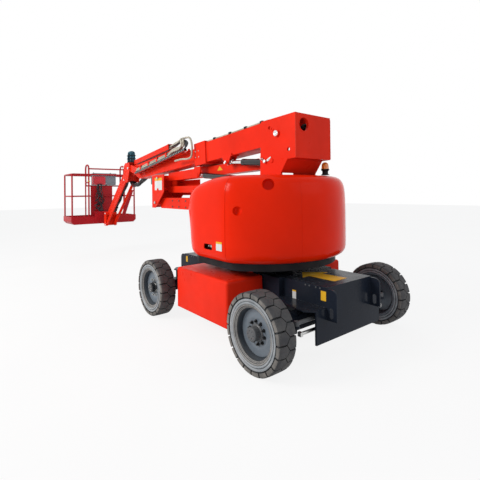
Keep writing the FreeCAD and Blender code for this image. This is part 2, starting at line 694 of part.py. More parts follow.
def end_section():
    """Front end of the frame: T-shaped end plate, deck box, fender shelf and lugs."""
    x0 = CENTRE_HALF_LENGTH - CHASSIS_WALL
    x1 = CHASSIS_END_X
    shelf_top = SHELF_Z + SHELF_THICKNESS
    room_half = DECK_HALF_WIDTH - CHASSIS_WALL
    deck = box(x0, x1, -DECK_HALF_WIDTH, DECK_HALF_WIDTH, SHELF_Z, DECK_TOP)
    room = box(x0 - 1, x1 - END_PLATE_THICKNESS, -room_half, room_half, shelf_top, DECK_TOP - CHASSIS_WALL)
    apron = box(x1 - END_PLATE_THICKNESS, x1, -LOWER_HALF_WIDTH, LOWER_HALF_WIDTH, BELLY, shelf_top)
    edge = [(x0, CENTRE_HALF_WIDTH), (FENDER_NECK_X, FENDER_HALF_WIDTH - FENDER_NECK_INSET),
            (FENDER_CORNER_X, FENDER_HALF_WIDTH), (x1, LOWER_HALF_WIDTH)]
    shelf = prism_xy([(x, -y) for x, y in edge] + edge[::-1], SHELF_Z, shelf_top)
    return fused([deck.cut(room), apron, shelf] + both_sides(lug()))


def lug():
    """Tie-down lug standing out past the end plate, with a vertical slot."""
    x0 = CHASSIS_END_X - END_PLATE_THICKNESS
    x1 = CHASSIS_END_X + LUG_REACH
    y0 = DECK_HALF_WIDTH - LUG_THICKNESS
    top = DECK_TOP - LUG_TOP_DROP
    r = LUG_CORNER_RADIUS
    plate = box(x0, x1, y0, DECK_HALF_WIDTH, LUG_BOTTOM, top)
    corner = box(x1 - r, x1 + 1, y0 - 1, DECK_HALF_WIDTH + 1, top - r, top + 1)
    corner = corner.cut(rod_y((x1 - r, top - r), r, y0 - 2, DECK_HALF_WIDTH + 2))
    straight = (LUG_SLOT_LENGTH - LUG_SLOT_WIDTH) / 2
    slot = box(LUG_SLOT_X - LUG_SLOT_WIDTH / 2, LUG_SLOT_X + LUG_SLOT_WIDTH / 2, y0 - 1, DECK_HALF_WIDTH + 1,
               LUG_SLOT_Z - straight, LUG_SLOT_Z + straight)
    ends = [rod_y((LUG_SLOT_X, LUG_SLOT_Z + dz), LUG_SLOT_WIDTH / 2, y0 - 1, DECK_HALF_WIDTH + 1)
            for dz in (-straight, straight)]
    return plate.cut(corner).cut(fused([slot] + ends))


def chassis_frame():
    hx = CENTRE_HALF_LENGTH
    hy = CENTRE_HALF_WIDTH
    centre = box(-hx, hx, -hy, hy, BELLY, DECK_TOP)
    hollow = box(-hx + CHASSIS_WALL, hx - CHASSIS_WALL, -hy + CHASSIS_WALL, hy - CHASSIS_WALL,
                 BELLY + CHASSIS_WALL, DECK_TOP - CHASSIS_WALL)
    access = rod_z(0, 0, BELLY_ACCESS_RADIUS, BELLY - 1, BELLY + CHASSIS_WALL + 1)
    centre = centre.cut(hollow).cut(access)
    front = end_section()
    rear = front.mirror(V(0, 0, 0), V(1, 0, 0))
    rails = []
    for z0 in BATTERY_RAIL_FEET:
        x0 = BATTERY_X0 + BATTERY_RAIL_INSET
        x1 = BATTERY_X1 - BATTERY_RAIL_INSET
        rails += both_sides(box(x0, x1, hy, BATTERY_Y0, z0, z0 + BATTERY_RAIL_HEIGHT))
    return fused([centre, front, rear] + rails)


def battery_box():
    body = box(BATTERY_X0, BATTERY_X1, BATTERY_Y0, BATTERY_Y1, BATTERY_Z0, BATTERY_Z1)
    edges = []
    for edge in body.Edges:
        centre = edge.BoundBox.Center
        high = abs(centre.z - BATTERY_Z1) < 1
        outer_upright = centre.y > BATTERY_Y1 - 1 and abs(centre.z - (BATTERY_Z0 + BATTERY_Z1) / 2) < 1
        if high and centre.y > BATTERY_Y0 + 1 or outer_upright:
            edges.append(edge)
    return body.makeFillet(BATTERY_EDGE_RADIUS, edges)


def slew_ring():
    return ring_z(SLEW_RING_RADIUS, SLEW_RING_BORE, DECK_TOP, DECK_TOP + SLEW_RING_HEIGHT)


# Turntable and hoods

def hood_outline(inset, z):
    """Hood outline in plan: straight sides, angled front corners and a round tail."""
    r = HOOD_TAIL_RADIUS - inset
    w = HOOD_HALF_WIDTH - inset
    fx = HOOD_FRONT_X - inset
    tail_x = -math.sqrt(r**2 - w**2)
    plan = [(x, half - inset) for x, half in HOOD_FRONT_CORNERS] + [(fx, HOOD_NOSE_HALF_WIDTH - inset)]
    plan += [(x, -y) for x, y in reversed(plan)]
    corners = [V(x, y, z) for x, y in plan]
    edges = [Part.LineSegment(V(tail_x, w, z), corners[0]).toShape()]
    edges += [Part.LineSegment(a, b).toShape() for a, b in zip(corners, corners[1:])]
    edges.append(Part.LineSegment(corners[-1], V(tail_x, -w, z)).toShape())
    edges.append(Part.Arc(V(tail_x, -w, z), V(-r, 0, z), V(tail_x, w, z)).toShape())
    return Part.Face(Part.Wire(edges))


def rounded_block(inset, z0, z1):
    block = hood_outline(inset, z0).extrude(V(0, 0, z1 - z0))
    uprights = [e for e in block.Edges if e.BoundBox.ZLength > (z1 - z0) / 2]
    return block.makeFillet(HOOD_CORNER_RADIUS - inset / 2, uprights)


def turntable():
    """Upper race, base plate with the hood sill, and the two posts of the lower arm."""
    race = ring_z(SLEW_RING_RADIUS - RACE_STEP, SLEW_RING_BORE, RACE_Z0, TABLE_Z0)
    front = TURNTABLE_FRONT_X
    base = rounded_block(TURNTABLE_INSET, TABLE_Z0, HOOD_BOTTOM)
    room = rounded_block(TURNTABLE_INSET + SILL_WIDTH, TABLE_Z1, HOOD_BOTTOM + 1)
    room = room.common(box(-FAR, front - SILL_WIDTH, -FAR, FAR, TABLE_Z1, HOOD_BOTTOM + 1))
    base = base.cut(room).common(box(-FAR, front, -FAR, FAR, TABLE_Z0, HOOD_BOTTOM))
    foot = TABLE_Z1 - 5
    pivot_x, pivot_z = LOWER_PIVOT
    link_x, link_z = link_pin = offset_pin(LOWER_PIVOT, LOWER_LINK_OFFSET)
    outline = [(POST_REAR_X, foot), (POST_FRONT_X, foot), (POST_FRONT_X, TABLE_Z1 + POST_FOOT_HEIGHT),
               (pivot_x + 90, pivot_z + 60), (link_x + 70, link_z + 55), (link_x - 60, link_z + 55),
               (POST_REAR_X, pivot_z)]
    posts = both_sides(prism_xz(outline, POST_Y, POST_Y + POST_THICKNESS))
    back = box(POST_REAR_X, POST_REAR_X + POST_THICKNESS, -POST_Y - 1, POST_Y + 1, foot, pivot_z - 60)
    pin_end = POST_Y + POST_THICKNESS + POST_PIN_CAP
    pins = [rod_y(pin, ARM_PIN_RADIUS, -pin_end, pin_end) for pin in (LOWER_PIVOT, link_pin)]
    return fused([race, base, back] + posts + pins)


def rim_edges(block, z):
    return [e for e in block.Edges if abs(e.BoundBox.ZMin - z) < 1 and abs(e.BoundBox.ZMax - z) < 1]


def hood_lump(inset):
    """Whole hood as one rounded block, moved in by a wall's thickness."""
    top = HOOD_TOP - inset
    bottom = HOOD_BOTTOM + inset
    block = rounded_block(inset, bottom, top)
    block = block.makeFillet(HOOD_TOP_RADIUS - inset / 2, rim_edges(block, top))
    block = block.makeFillet(HOOD_BOTTOM_RADIUS - inset / 2, rim_edges(block, bottom))
    ahead = HOOD_FRONT_X + 200
    low, knee, brow, crown = HOOD_FRONT_SLOPE
    nose = [(low[0] - inset, low[1]), (knee[0] - inset, knee[1] - inset),
            (brow[0] - inset * 0.3, brow[1] - inset), (crown[0], crown[1] - inset),
            (ahead - inset, crown[1] - inset), (ahead - inset, low[1])]
    return block.cut(prism_xz(nose, -FAR, FAR))


def hood_shell():
    """Hood shell with its bottom edge turned under, open over the turntable."""
    shell = hood_lump(0).cut(hood_lump(HOOD_WALL))
    shell = shell.cut(rounded_block(HOOD_FLANGE_INSET, HOOD_BOTTOM - 1, HOOD_BOTTOM + HOOD_WALL + 1))
    slot = box(HOOD_SLOT_END_X, HOOD_FRONT_X + 10, -HOOD_SLOT_Y, HOOD_SLOT_Y, HOOD_BOTTOM - 1, HOOD_TOP + 1)
    return shell.cut(slot)


def door_knuckles():
    """Bored hinge barrels with their leaves, for the left door."""
    x = HOOD_SEAM_X
    leaf_y = HOOD_HALF_WIDTH - HINGE_LEAF_DEPTH
    pieces = []
    for z0 in HINGE_HEIGHTS:
        z1 = z0 + HINGE_BARREL_LENGTH
        leaf = box(x + 4, x + HINGE_LEAF_LENGTH, leaf_y, HINGE_Y, z0, z1)
        leaf = leaf.fuse(rod_z(x, HINGE_Y, HINGE_BARREL_RADIUS, z0, z1))
        pieces.append(leaf.cut(rod_z(x, HINGE_Y, HINGE_PIN_RADIUS + RUNNING_CLEARANCE, z0 - 1, z1 + 1)))
    return pieces


def hood_knuckles():
    """Hinge barrels on the left rear hood, each with its pin standing up."""
    x = HOOD_SEAM_X
    pieces = []
    for z in HINGE_HEIGHTS:
        z1 = z - HINGE_GAP
        z0 = z1 - HINGE_BARREL_LENGTH
        pieces.append(box(x - HINGE_LEAF_LENGTH, x, HOOD_HALF_WIDTH - HINGE_LEAF_DEPTH - 2, HINGE_Y, z0, z1))
        pieces.append(rod_z(x, HINGE_Y, HINGE_BARREL_RADIUS, z0, z1))
        pieces.append(rod_z(x, HINGE_Y, HINGE_PIN_RADIUS, z0, z + HINGE_BARREL_LENGTH + 4))
    return pieces


def hood_piece(shell, x0, x1, y0, y1):
    return shell.common(box(x0, x1, y0, y1, HOOD_BOTTOM - 10, HOOD_TOP + 10))


def counterweight():
    """Heavy block behind the posts, stepped in over the hood's turned-under edge."""
    step_z = HOOD_BOTTOM + HOOD_BOTTOM_RADIUS + COUNTERWEIGHT_CLEARANCE
    foot_inset = TURNTABLE_INSET + SILL_WIDTH + COUNTERWEIGHT_CLEARANCE
    body_inset = HOOD_WALL + COUNTERWEIGHT_INSET
    layers = []
    for inset, z0, z1 in ((foot_inset, TABLE_Z1, step_z), (body_inset, step_z - 1, COUNTERWEIGHT_TOP)):
        r = HOOD_TAIL_RADIUS - inset
        half = HOOD_HALF_WIDTH - inset
        layers.append(rod_z(0, 0, r, z0, z1).common(box(-r, COUNTERWEIGHT_FRONT_X, -half, half, z0, z1)))
    return fused(layers)


def power_unit():
    """Hydraulic power unit under the left hood, as a plain block."""
    return box(POWER_X0, POWER_X1, POWER_Y0, POWER_Y1, TABLE_Z1, POWER_UNIT_TOP)


def oil_tank():
    """Oil tank under the right hood, as a plain block."""
    return box(POWER_X0, POWER_X1, -POWER_Y1, -POWER_Y0, TABLE_Z1, OIL_TANK_TOP)


def beacon():
    base_top = HOOD_TOP + BEACON_BASE_HEIGHT
    top = HOOD_TOP + BEACON_HEIGHT
    base = rod_z(BEACON_X, BEACON_Y, BEACON_BASE_RADIUS, HOOD_TOP, base_top)
    dome = rod_z(BEACON_X, BEACON_Y, BEACON_RADIUS, base_top, top)
    dome = dome.makeFillet(BEACON_DOME_RADIUS, [e for e in dome.Edges if e.BoundBox.ZMin > top - 1])
    return fused([base, dome])


# Riser arms

def arm_ends(a, b, radius, y0, y1):
    return [rod_y(a, radius, y0, y1), rod_y(b, radius, y0, y1)]


def bored(shape, pins, radius, y0, y1):
    return cut(shape, [rod_y(pin, radius + RUNNING_CLEARANCE, y0 - 1, y1 + 1) for pin in pins])


def arm_caps(a, b, down, up, y0, y1):
    """Closing plates inside both ends of an arm's tube."""
    length = unit(a, b)[2]
    step = ARM_CAP_STEP
    return [bar(a, b, start, start + ARM_WALL, down - step, up - step, y0 + step, y1 - step)
            for start in (ARM_CAP_INSET, length - ARM_CAP_INSET - ARM_WALL)]


def arm_necks(a, b, y0, y1):
    """Solid ends of an arm, from its tube to its pin bosses."""
    length = unit(a, b)[2]
    depth = ARM_NECK_HALF_DEPTH
    return [bar(a, b, 0, ARM_NECK_LENGTH, depth, depth, y0, y1),
            bar(a, b, length - ARM_NECK_LENGTH, length, depth, depth, y0, y1)]


def lower_arm():
    a = LOWER_PIVOT
    b = MID_LOWER_PIN
    w = LOWER_ARM_HALF_WIDTH
    tube_end = unit(a, b)[2] - ARM_CAP_INSET
    tube = tube_bar(a, b, ARM_CAP_INSET, tube_end, LOWER_ARM_DOWN, LOWER_ARM_UP, -w, w, ARM_WALL)
    caps = arm_caps(a, b, LOWER_ARM_DOWN, LOWER_ARM_UP, -w, w)
    bosses = [rod_y(a, BOSS_RADIUS, -POST_Y + LOWER_BOSS_GAP, POST_Y - LOWER_BOSS_GAP),
              rod_y(b, BOSS_RADIUS, -MID_PLATE_Y + LOWER_BOSS_GAP, MID_PLATE_Y - LOWER_BOSS_GAP)]
    x, z = RISER_BASE_PIN
    foot = a[1] + LOWER_ARM_UP - 8
    outline = [(x - 110, foot), (x + 110, foot), (x + 40, z + 20), (x - 40, z + 20)]
    ears = []
    for y0 in cylinder_ear_sides():
        y1 = y0 + EAR_THICKNESS
        ears.append(prism_xz(outline, y0, y1).fuse(rod_y(RISER_BASE_PIN, EAR_RADIUS, y0, y1)))
    base_pin = rod_y(RISER_BASE_PIN, CYLINDER_PIN_RADIUS, *cylinder_pin_span())
    solid = fused([tube] + caps + bosses + arm_necks(a, b, -w, w) + ears + [base_pin])
    return bored(solid, (a, b), ARM_PIN_RADIUS, -POST_Y, POST_Y)


def cylinder_ear_sides():
    """Inner faces of the two ears that hold a cylinder's eye."""
    half = CYLINDER_EYE_HALF_WIDTH + EAR_GAP
    return CYLINDER_Y - half - EAR_THICKNESS, CYLINDER_Y + half


def cylinder_pin_span():
    low, high = cylinder_ear_sides()
    return low, high + EAR_THICKNESS


def link_bar(a, b, half_depth, y0, y1, pin_radius):
    length = unit(a, b)[2]
    body = bar(a, b, 0, length, half_depth, half_depth, y0, y1)
    ends = arm_ends(a, b, half_depth, y0, y1)
    return bored(fused([body] + ends), (a, b), pin_radius, y0, y1)


def offset_pin(pin, offset):
    return pin[0] + offset[0], pin[1] + offset[1]


def lower_link():
    a = offset_pin(LOWER_PIVOT, LOWER_LINK_OFFSET)
    b = offset_pin(MID_LOWER_PIN, LOWER_LINK_OFFSET)
    return link_bar(a, b, LOWER_LINK_HALF_DEPTH, LINK_Y0, LINK_Y1, ARM_PIN_RADIUS)


def upper_link():
    a = offset_pin(MID_UPPER_PIN, UPPER_LINK_OFFSET)
    b = offset_pin(TOWER_UPPER_PIN, UPPER_LINK_OFFSET)
    return link_bar(a, b, UPPER_LINK_HALF_DEPTH, UPPER_LINK_Y0, UPPER_LINK_Y1, ARM_PIN_RADIUS)


def mid_bracket():
    """Elbow between the riser arms: two plates, their pins and a front plate."""
    low_x, low_z = MID_LOWER_PIN
    high_x, high_z = MID_UPPER_PIN
    rear_x = high_x - MID_REAR_REACH
    front_x = high_x + MID_FRONT_REACH
    top_z = high_z + MID_TOP_RISE
    foot_z = low_z - MID_FOOT_DROP
    outline = [(rear_x, top_z), (front_x, top_z), (front_x, foot_z), (low_x + 20, foot_z),
               (low_x - 70, low_z - 35), (rear_x, high_z - 250)]
    y0 = MID_PLATE_Y
    y1 = MID_PLATE_Y + MID_PLATE_THICKNESS
    plates = both_sides(prism_xz(outline, y0, y1))
    front = box(front_x - MID_PLATE_THICKNESS, front_x, -y0 - 1, y0 + 1, foot_z + 5, top_z - 5)
    link_pin = offset_pin(MID_UPPER_PIN, UPPER_LINK_OFFSET)
    stem = box(link_pin[0] - MID_EAR_HALF_LENGTH, link_pin[0] + MID_EAR_HALF_LENGTH, -y1, -y0,
               high_z + MID_EAR_FOOT, link_pin[1])
    ear = fused([rod_y(link_pin, MID_EAR_RADIUS, -y1, -y0), stem])
    gusset = box(rear_x - GUSSET_REACH, front_x - GUSSET_FRONT_INSET, -y1 - GUSSET_THICKNESS, -y1,
                 low_z + GUSSET_FOOT_RISE, high_z - GUSSET_TOP_DROP)
    pin_end = y1 + MID_PIN_CAP
    pins = [rod_y(pin, ARM_PIN_RADIUS, -pin_end, pin_end)
            for pin in (MID_LOWER_PIN, offset_pin(MID_LOWER_PIN, LOWER_LINK_OFFSET), MID_UPPER_PIN)]
    pins.append(rod_y(link_pin, ARM_PIN_RADIUS, -pin_end, UPPER_LINK_Y1 + 4))
    return fused(plates + [front, ear, gusset] + pins)


def upper_arm():
    a = TOWER_UPPER_PIN
    b = MID_UPPER_PIN
    y0 = UPPER_ARM_Y0
    y1 = UPPER_ARM_Y1
    tube_end = unit(a, b)[2] - ARM_CAP_INSET
    tube = tube_bar(a, b, ARM_CAP_INSET, tube_end, UPPER_ARM_DOWN, UPPER_ARM_UP, y0, y1, ARM_WALL)
    caps = arm_caps(a, b, UPPER_ARM_DOWN, UPPER_ARM_UP, y0, y1)
    bosses = [rod_y(a, BOSS_RADIUS, y0 - 6, y1 + 6),
              rod_y(b, BOSS_RADIUS, -MID_PLATE_Y + 50, MID_PLATE_Y - LOWER_BOSS_GAP)]
    x, z = RISER_EYE_PIN
    ear_y = cylinder_ear_sides()[1]
    ear_end = ear_y + EAR_THICKNESS
    top = z + 126
    outline = [(x - 90, top), (x + 90, top), (x + 90, z + 60), (x + 38, z - 20), (x - 38, z - 20),
               (x - 90, z + 60)]
    ear = fused([prism_xz(outline, ear_y, ear_end), rod_y(RISER_EYE_PIN, EAR_RADIUS + 2, ear_y, ear_end)])
    bridge = box(x - 90, x + 90, y1 - 1, ear_y + 1, top - 20, top)
    head = rod_y(RISER_EYE_PIN, CYLINDER_PIN_RADIUS + PIN_HEAD_MARGIN, ear_end, ear_end + PIN_HEAD_THICKNESS)
    solid = fused([tube] + caps + arm_necks(a, b, y0, y1) + bosses + [ear, bridge, head])
    return bored(solid, (a, b), ARM_PIN_RADIUS, y0 - 20, MID_PLATE_Y)


# Cylinders

def cylinder_point(base, eye, distance):
    """Point on a cylinder's centre line, at a distance from its base pin."""
    x, z = along(base, eye, distance)
    return V(x, CYLINDER_Y, z)


def cylinder_eye(pin):
    half = CYLINDER_EYE_HALF_WIDTH
    return rod_y(pin, CYLINDER_EYE_RADIUS, CYLINDER_Y - half, CYLINDER_Y + half)


def cylinder_pin_hole(pin):
    reach = CYLINDER_EYE_HALF_WIDTH + 22
    return rod_y(pin, CYLINDER_PIN_RADIUS + RUNNING_CLEARANCE, CYLINDER_Y - reach, CYLINDER_Y + reach)


def barrel(base, eye, length):
    """Cylinder barrel with its base eye, gland and bore."""
    bottom = cylinder_point(base, eye, CYLINDER_EYE_RADIUS - 8)
    bore_start = cylinder_point(base, eye, CYLINDER_EYE_RADIUS + BARREL_END_THICKNESS)
    gland_start = cylinder_point(base, eye, length - GLAND_LENGTH)
    top = cylinder_point(base, eye, length)
    tube = rod_between(bottom, top, BARREL_RADIUS)
    gland = rod_between(gland_start, top, GLAND_RADIUS)
    bore = rod_between(bore_start, gland_start, BARREL_RADIUS - BARREL_WALL)
    passage = rod_between(bore_start, cylinder_point(base, eye, length + 1), ROD_RADIUS + RUNNING_CLEARANCE)
    body = fused([tube, gland, cylinder_eye(base)])
    return body.cut(bore).cut(passage).cut(cylinder_pin_hole(base))


def piston_rod(base, eye):
    """Piston rod out to an open eye at its far pin."""
    neck = unit(base, eye)[2] - CYLINDER_EYE_RADIUS
    start = CYLINDER_EYE_RADIUS + ROD_START
    shaft = rod_between(cylinder_point(base, eye, start), cylinder_point(base, eye, neck + 8), ROD_RADIUS)
    piston = rod_between(cylinder_point(base, eye, start), cylinder_point(base, eye, start + PISTON_LENGTH),
                         BARREL_RADIUS - BARREL_WALL - RUNNING_CLEARANCE)
    collar_end = neck + 10
    collar = rod_between(cylinder_point(base, eye, collar_end - ROD_COLLAR_LENGTH),
                         cylinder_point(base, eye, collar_end), ROD_RADIUS + ROD_COLLAR_MARGIN)
    return fused([shaft, piston, cylinder_eye(eye), collar]).cut(cylinder_pin_hole(eye))


# Tower head and boom

def tower_head():
    """Tower box: side plates with legs, rear plate with its port, floor and pins."""
    w = TOWER_HALF_WIDTH
    t = TOWER_WALL
    inner = w - t + 1
    rear = TOWER_REAR_X
    leg_rear = (TOWER_LEG_REAR_X, TOWER_LEG_CORNER_Z)
    notch = (TOWER_NOTCH_X, TOWER_BOTTOM_REAR - 6)
    outline = [(rear, TOWER_TOP_REAR), (TOWER_FRONT_X + TOWER_LEG_SLANT[0], TOWER_TOP_FRONT),
               (TOWER_FRONT_X + TOWER_LEG_SLANT[1], TOWER_LEG_BOTTOM), (TOWER_LEG_REAR_X, TOWER_LEG_BOTTOM),
               leg_rear, notch, (rear, TOWER_BOTTOM_REAR)]
    sides = both_sides(prism_xz(outline, w - t, w))
    back = box(rear, rear + t, -inner, inner, TOWER_BOTTOM_REAR, TOWER_TOP_REAR - 1)
    port = Part.makeCylinder(TOWER_PORT_RADIUS, t + 2, V(rear - 1, TOWER_PORT_Y, TOWER_PORT_Z), V(1, 0, 0))
    roof = box(rear + 1, rear + TOWER_ROOF_LENGTH, -inner, inner, TOWER_TOP_REAR - t, TOWER_TOP_REAR - 4)
    floor_top = TOWER_BOTTOM_REAR + TOWER_FLOOR_THICKNESS
    floor = box(rear + 1, TOWER_NOTCH_X, -inner, inner, TOWER_BOTTOM_REAR, floor_top)
    slant_top = (TOWER_LEG_REAR_X, TOWER_LEG_CORNER_Z + 24)
    slant = prism_xz([notch, leg_rear, slant_top, (TOWER_NOTCH_X, floor_top)], -inner, inner)
    pins = [rod_y(BOOM_PIVOT, BOOM_PIN_RADIUS, -w - TOWER_PIN_CAP, w + TOWER_PIN_CAP),
            rod_y(TOWER_UPPER_PIN, ARM_PIN_RADIUS, -w - 10, w + 10),
            rod_y(offset_pin(TOWER_UPPER_PIN, UPPER_LINK_OFFSET), ARM_PIN_RADIUS, -w + 1, UPPER_LINK_Y1 + 4),
            rod_y(LIFT_BASE_PIN, CYLINDER_PIN_RADIUS, CYLINDER_Y - CYLINDER_EYE_HALF_WIDTH - 5, w + 14)]
    solid = fused(sides + [back.cut(port), roof, floor, slant] + pins)
    return cut(solid, [rod_y(hole, TOWER_HOLE_RADIUS, -w - 1, w + 1) for hole in TOWER_HOLES])


def boom_axis(distance, rise=0.0):
    """Point of the boom's centre line, at a distance ahead of the pivot."""
    angle = math.radians(BOOM_ANGLE)
    rise = rise + BOOM_AXIS_RISE
    return (BOOM_PIVOT[0] + distance * math.cos(angle) - rise * math.sin(angle),
            BOOM_PIVOT[1] + distance * math.sin(angle) + rise * math.cos(angle))


BOOM_A = boom_axis(0)
BOOM_B = boom_axis(1000)


def on_boom(start, end, down, up, y0, y1):
    """Block along the boom's centre line, from its pivot's station."""
    return bar(BOOM_A, BOOM_B, start, end, down, up, y0, y1)


def boom_outer():
    """Outer boom tube with its pivot boss, cheeks, front collar and wear pads."""
    w = OUTER_HALF_WIDTH
    h = OUTER_HALF_DEPTH
    tube = tube_bar(BOOM_A, BOOM_B, OUTER_REAR, OUTER_LENGTH, h, h, -w, w, OUTER_WALL)
    t = COLLAR_THICKNESS
    collar_start = OUTER_LENGTH - COLLAR_LENGTH
    collar = tube_bar(BOOM_A, BOOM_B, collar_start, OUTER_LENGTH, h + t, h + t, -w - t, w + t, t + 1)
    boss_end = TOWER_HALF_WIDTH - TOWER_WALL - BOOM_BOSS_GAP
    boss = rod_y(BOOM_PIVOT, BOOM_BOSS_RADIUS, -boss_end, boss_end)
    cheek = on_boom(-BOOM_BOSS_RADIUS, CHEEK_LENGTH, BOOM_AXIS_RISE + 30, 40, w - 1, w + CHEEK_THICKNESS)
    room_w = w - OUTER_WALL
    room_h = h - OUTER_WALL
    room = on_boom(FLY_START - 20, OUTER_LENGTH - 5, room_h, room_h, -room_w, room_w)
    fly_w = FLY_HALF_WIDTH + PAD_GAP
    fly_h = FLY_HALF_DEPTH + PAD_GAP
    end = OUTER_LENGTH - PAD_INSET
    start = end - PAD_LENGTH
    pad = PAD_HALF_WIDTH
    pads = both_sides(on_boom(start, end, pad, pad, fly_w, room_w + 1))
    pads.append(on_boom(start, end, room_h + 1, -fly_h, -pad, pad))
    pads.append(on_boom(start, end, -fly_h, room_h + 1, -pad, pad))
    shell = fused([tube, boss, collar] + both_sides(cheek)).cut(room)
    solid = fused([shell] + pads)
    return bored(solid, (BOOM_PIVOT,), BOOM_PIN_RADIUS, -TOWER_HALF_WIDTH, TOWER_HALF_WIDTH)


def lift_bracket():
    """Welded pad under the outer boom with the two ears of the lift cylinder."""
    x, z = LIFT_EYE_PIN
    h = OUTER_HALF_DEPTH
    top = z + 90
    outline = [(x - 115, top + 18), (x + 115, top), (x + 40, z - 18), (x - 40, z - 18)]
    ears = []
    for y0 in cylinder_ear_sides():
        y1 = y0 + EAR_THICKNESS
        ears.append(prism_xz(outline, y0, y1).fuse(rod_y(LIFT_EYE_PIN, EAR_RADIUS, y0, y1)))
    start = x - BOOM_A[0] - LIFT_PAD_HALF_LENGTH
    end = start + 2 * LIFT_PAD_HALF_LENGTH
    near, far = cylinder_pin_span()
    pad = on_boom(start, end, h + LIFT_PAD_THICKNESS, -h, near, far)
    head = rod_y(LIFT_EYE_PIN, CYLINDER_PIN_RADIUS + PIN_HEAD_MARGIN, far, far + PIN_HEAD_THICKNESS)
    beam = on_boom(OUTER_REAR, OUTER_LENGTH, h, h, -OUTER_HALF_WIDTH, OUTER_HALF_WIDTH)
    return fused([pad, head] + ears).cut(beam)


def boom_fly():
    """Inner boom with a slant-cut nose and two ears at the knuckle pin."""
    w = FLY_HALF_WIDTH
    h = FLY_HALF_DEPTH
    ux, uz, _ = unit(BOOM_A, BOOM_B)
    dx = KNUCKLE_PIN[0] - BOOM_A[0]
    dz = KNUCKLE_PIN[1] - BOOM_A[1]
    reach = dx * ux + dz * uz
    rise = dz * ux - dx * uz

    def profile(points, y0, y1):
        """Plate from (distance behind the knuckle pin, height over the centre line) points."""
        return prism_xz([along(BOOM_A, BOOM_B, reach - back, height) for back, height in points], y0, y1)

    tube = tube_bar(BOOM_A, BOOM_B, FLY_START, reach - FLY_END_GAP, h, h, -w, w, FLY_WALL)
    nose_cut = profile([(FLY_NOSE_LENGTH, -h - 20), (-60, -h - 20), (-60, rise - 10), (80, rise - 75),
                        (FLY_NOSE_LENGTH, -h)], -w - 10, w + 10)
    nose_plate = profile([(FLY_NOSE_LENGTH - 20, -h), (110, rise - 92), (110, rise - 78),
                          (FLY_NOSE_LENGTH, -h + 8)], -w, w)
    ear = profile([(FLY_EAR_REACH, h - 2), (120, rise + 50), (0, rise + FLY_EAR_RADIUS),
                   (0, rise - FLY_EAR_RADIUS), (FLY_EAR_REACH, -h + 60)], w - FLY_EAR_THICKNESS, w)
    ears = both_sides(ear.fuse(rod_y(KNUCKLE_PIN, FLY_EAR_RADIUS, w - FLY_EAR_THICKNESS, w)))
    lid = on_boom(reach - 400, reach - 130, -h + 8, rise - 20, -w + 2, w - 2)
    end = FLY_START + FLY_PAD_LENGTH
    pad = PAD_HALF_WIDTH
    room_w = OUTER_HALF_WIDTH - OUTER_WALL - PAD_GAP
    room_h = OUTER_HALF_DEPTH - OUTER_WALL - PAD_GAP
    pads = both_sides(on_boom(FLY_START, end, pad, pad, w - 1, room_w))
    pads.append(on_boom(FLY_START, end, room_h, -h + 1, -pad, pad))
    pads.append(on_boom(FLY_START, end, -h + 1, room_h, -pad, pad))
    solid = fused([tube.cut(nose_cut), nose_plate, lid] + ears + pads)
    return bored(solid, (KNUCKLE_PIN,), KNUCKLE_PIN_RADIUS, -w, w)


def hose_tube():
    """Two square hose tubes over the fly boom, on one web that stands on it."""
    s = HOSE_TUBE_SIZE / 2
    half = LOWER_TUBE_SIZE / 2
    t = HOSE_WEB_THICKNESS / 2
    upper_line = (HOSE_TUBE_REAR, HOSE_TUBE_FRONT)
    lower_line = (LOWER_TUBE_REAR, LOWER_TUBE_FRONT)
    upper = tube_bar(*upper_line, 0, unit(*upper_line)[2], s, s, -s, s, HOSE_TUBE_WALL)
    lower = tube_bar(*lower_line, 0, unit(*lower_line)[2], half, half, t - 1, t - 1 + LOWER_TUBE_SIZE,
                     HOSE_TUBE_WALL)
    x0 = LOWER_TUBE_REAR[0] + HOSE_WEB_REAR_INSET
    x1 = LOWER_TUBE_FRONT[0] - HOSE_WEB_FRONT_INSET
    under = [(x, line_z(*upper_line, x) - s + 1) for x in (x1, HOSE_TUBE_REAR[0] + 10)]
    web_foot = [(x0, fly_top_z(x0)), (x1, fly_top_z(x1))]
    web = prism_xz(web_foot + under + [(x0, LOWER_TUBE_REAR[1] + half)], -t, t)
    foot_half = s + HOSE_FOOT_MARGIN
    feet = []
    for x in (x0 + 100, (x0 + x1) / 2, x1 - 100):
        top = fly_top_z(x) + HOSE_FOOT_RISE
        feet.append(box(x - HOSE_FOOT_HALF_LENGTH, x + HOSE_FOOT_HALF_LENGTH, -foot_half, foot_half,
                        top - 22, top))
    skin = on_boom(0, 2 * FAR + 1000, FLY_HALF_DEPTH, FLY_HALF_DEPTH, -FLY_HALF_WIDTH, FLY_HALF_WIDTH)
    return fused([upper, lower, web] + feet).cut(skin)


def line_z(a, b, x):
    return a[1] + (b[1] - a[1]) * (x - a[0]) / (b[0] - a[0])


def fly_top_z(x):
    angle = math.radians(BOOM_ANGLE)
    base = boom_axis(0, FLY_HALF_DEPTH)
    return base[1] + (x - base[0]) * math.tan(angle)


def fly_mid_z(x):
    return fly_top_z(x) - FLY_HALF_DEPTH / math.cos(math.radians(BOOM_ANGLE))


def tray_line():
    """Upper face of the tray's floor, from its rear end to its front end."""
    x0 = boom_axis(OUTER_LENGTH)[0] + TRAY_CLEARANCE
    a = (x0, fly_mid_z(x0) + TRAY_REAR_RISE)
    b = (TRAY_X1, fly_mid_z(TRAY_X1) + TRAY_FRONT_RISE)
    return a, b, unit(a, b)[2]


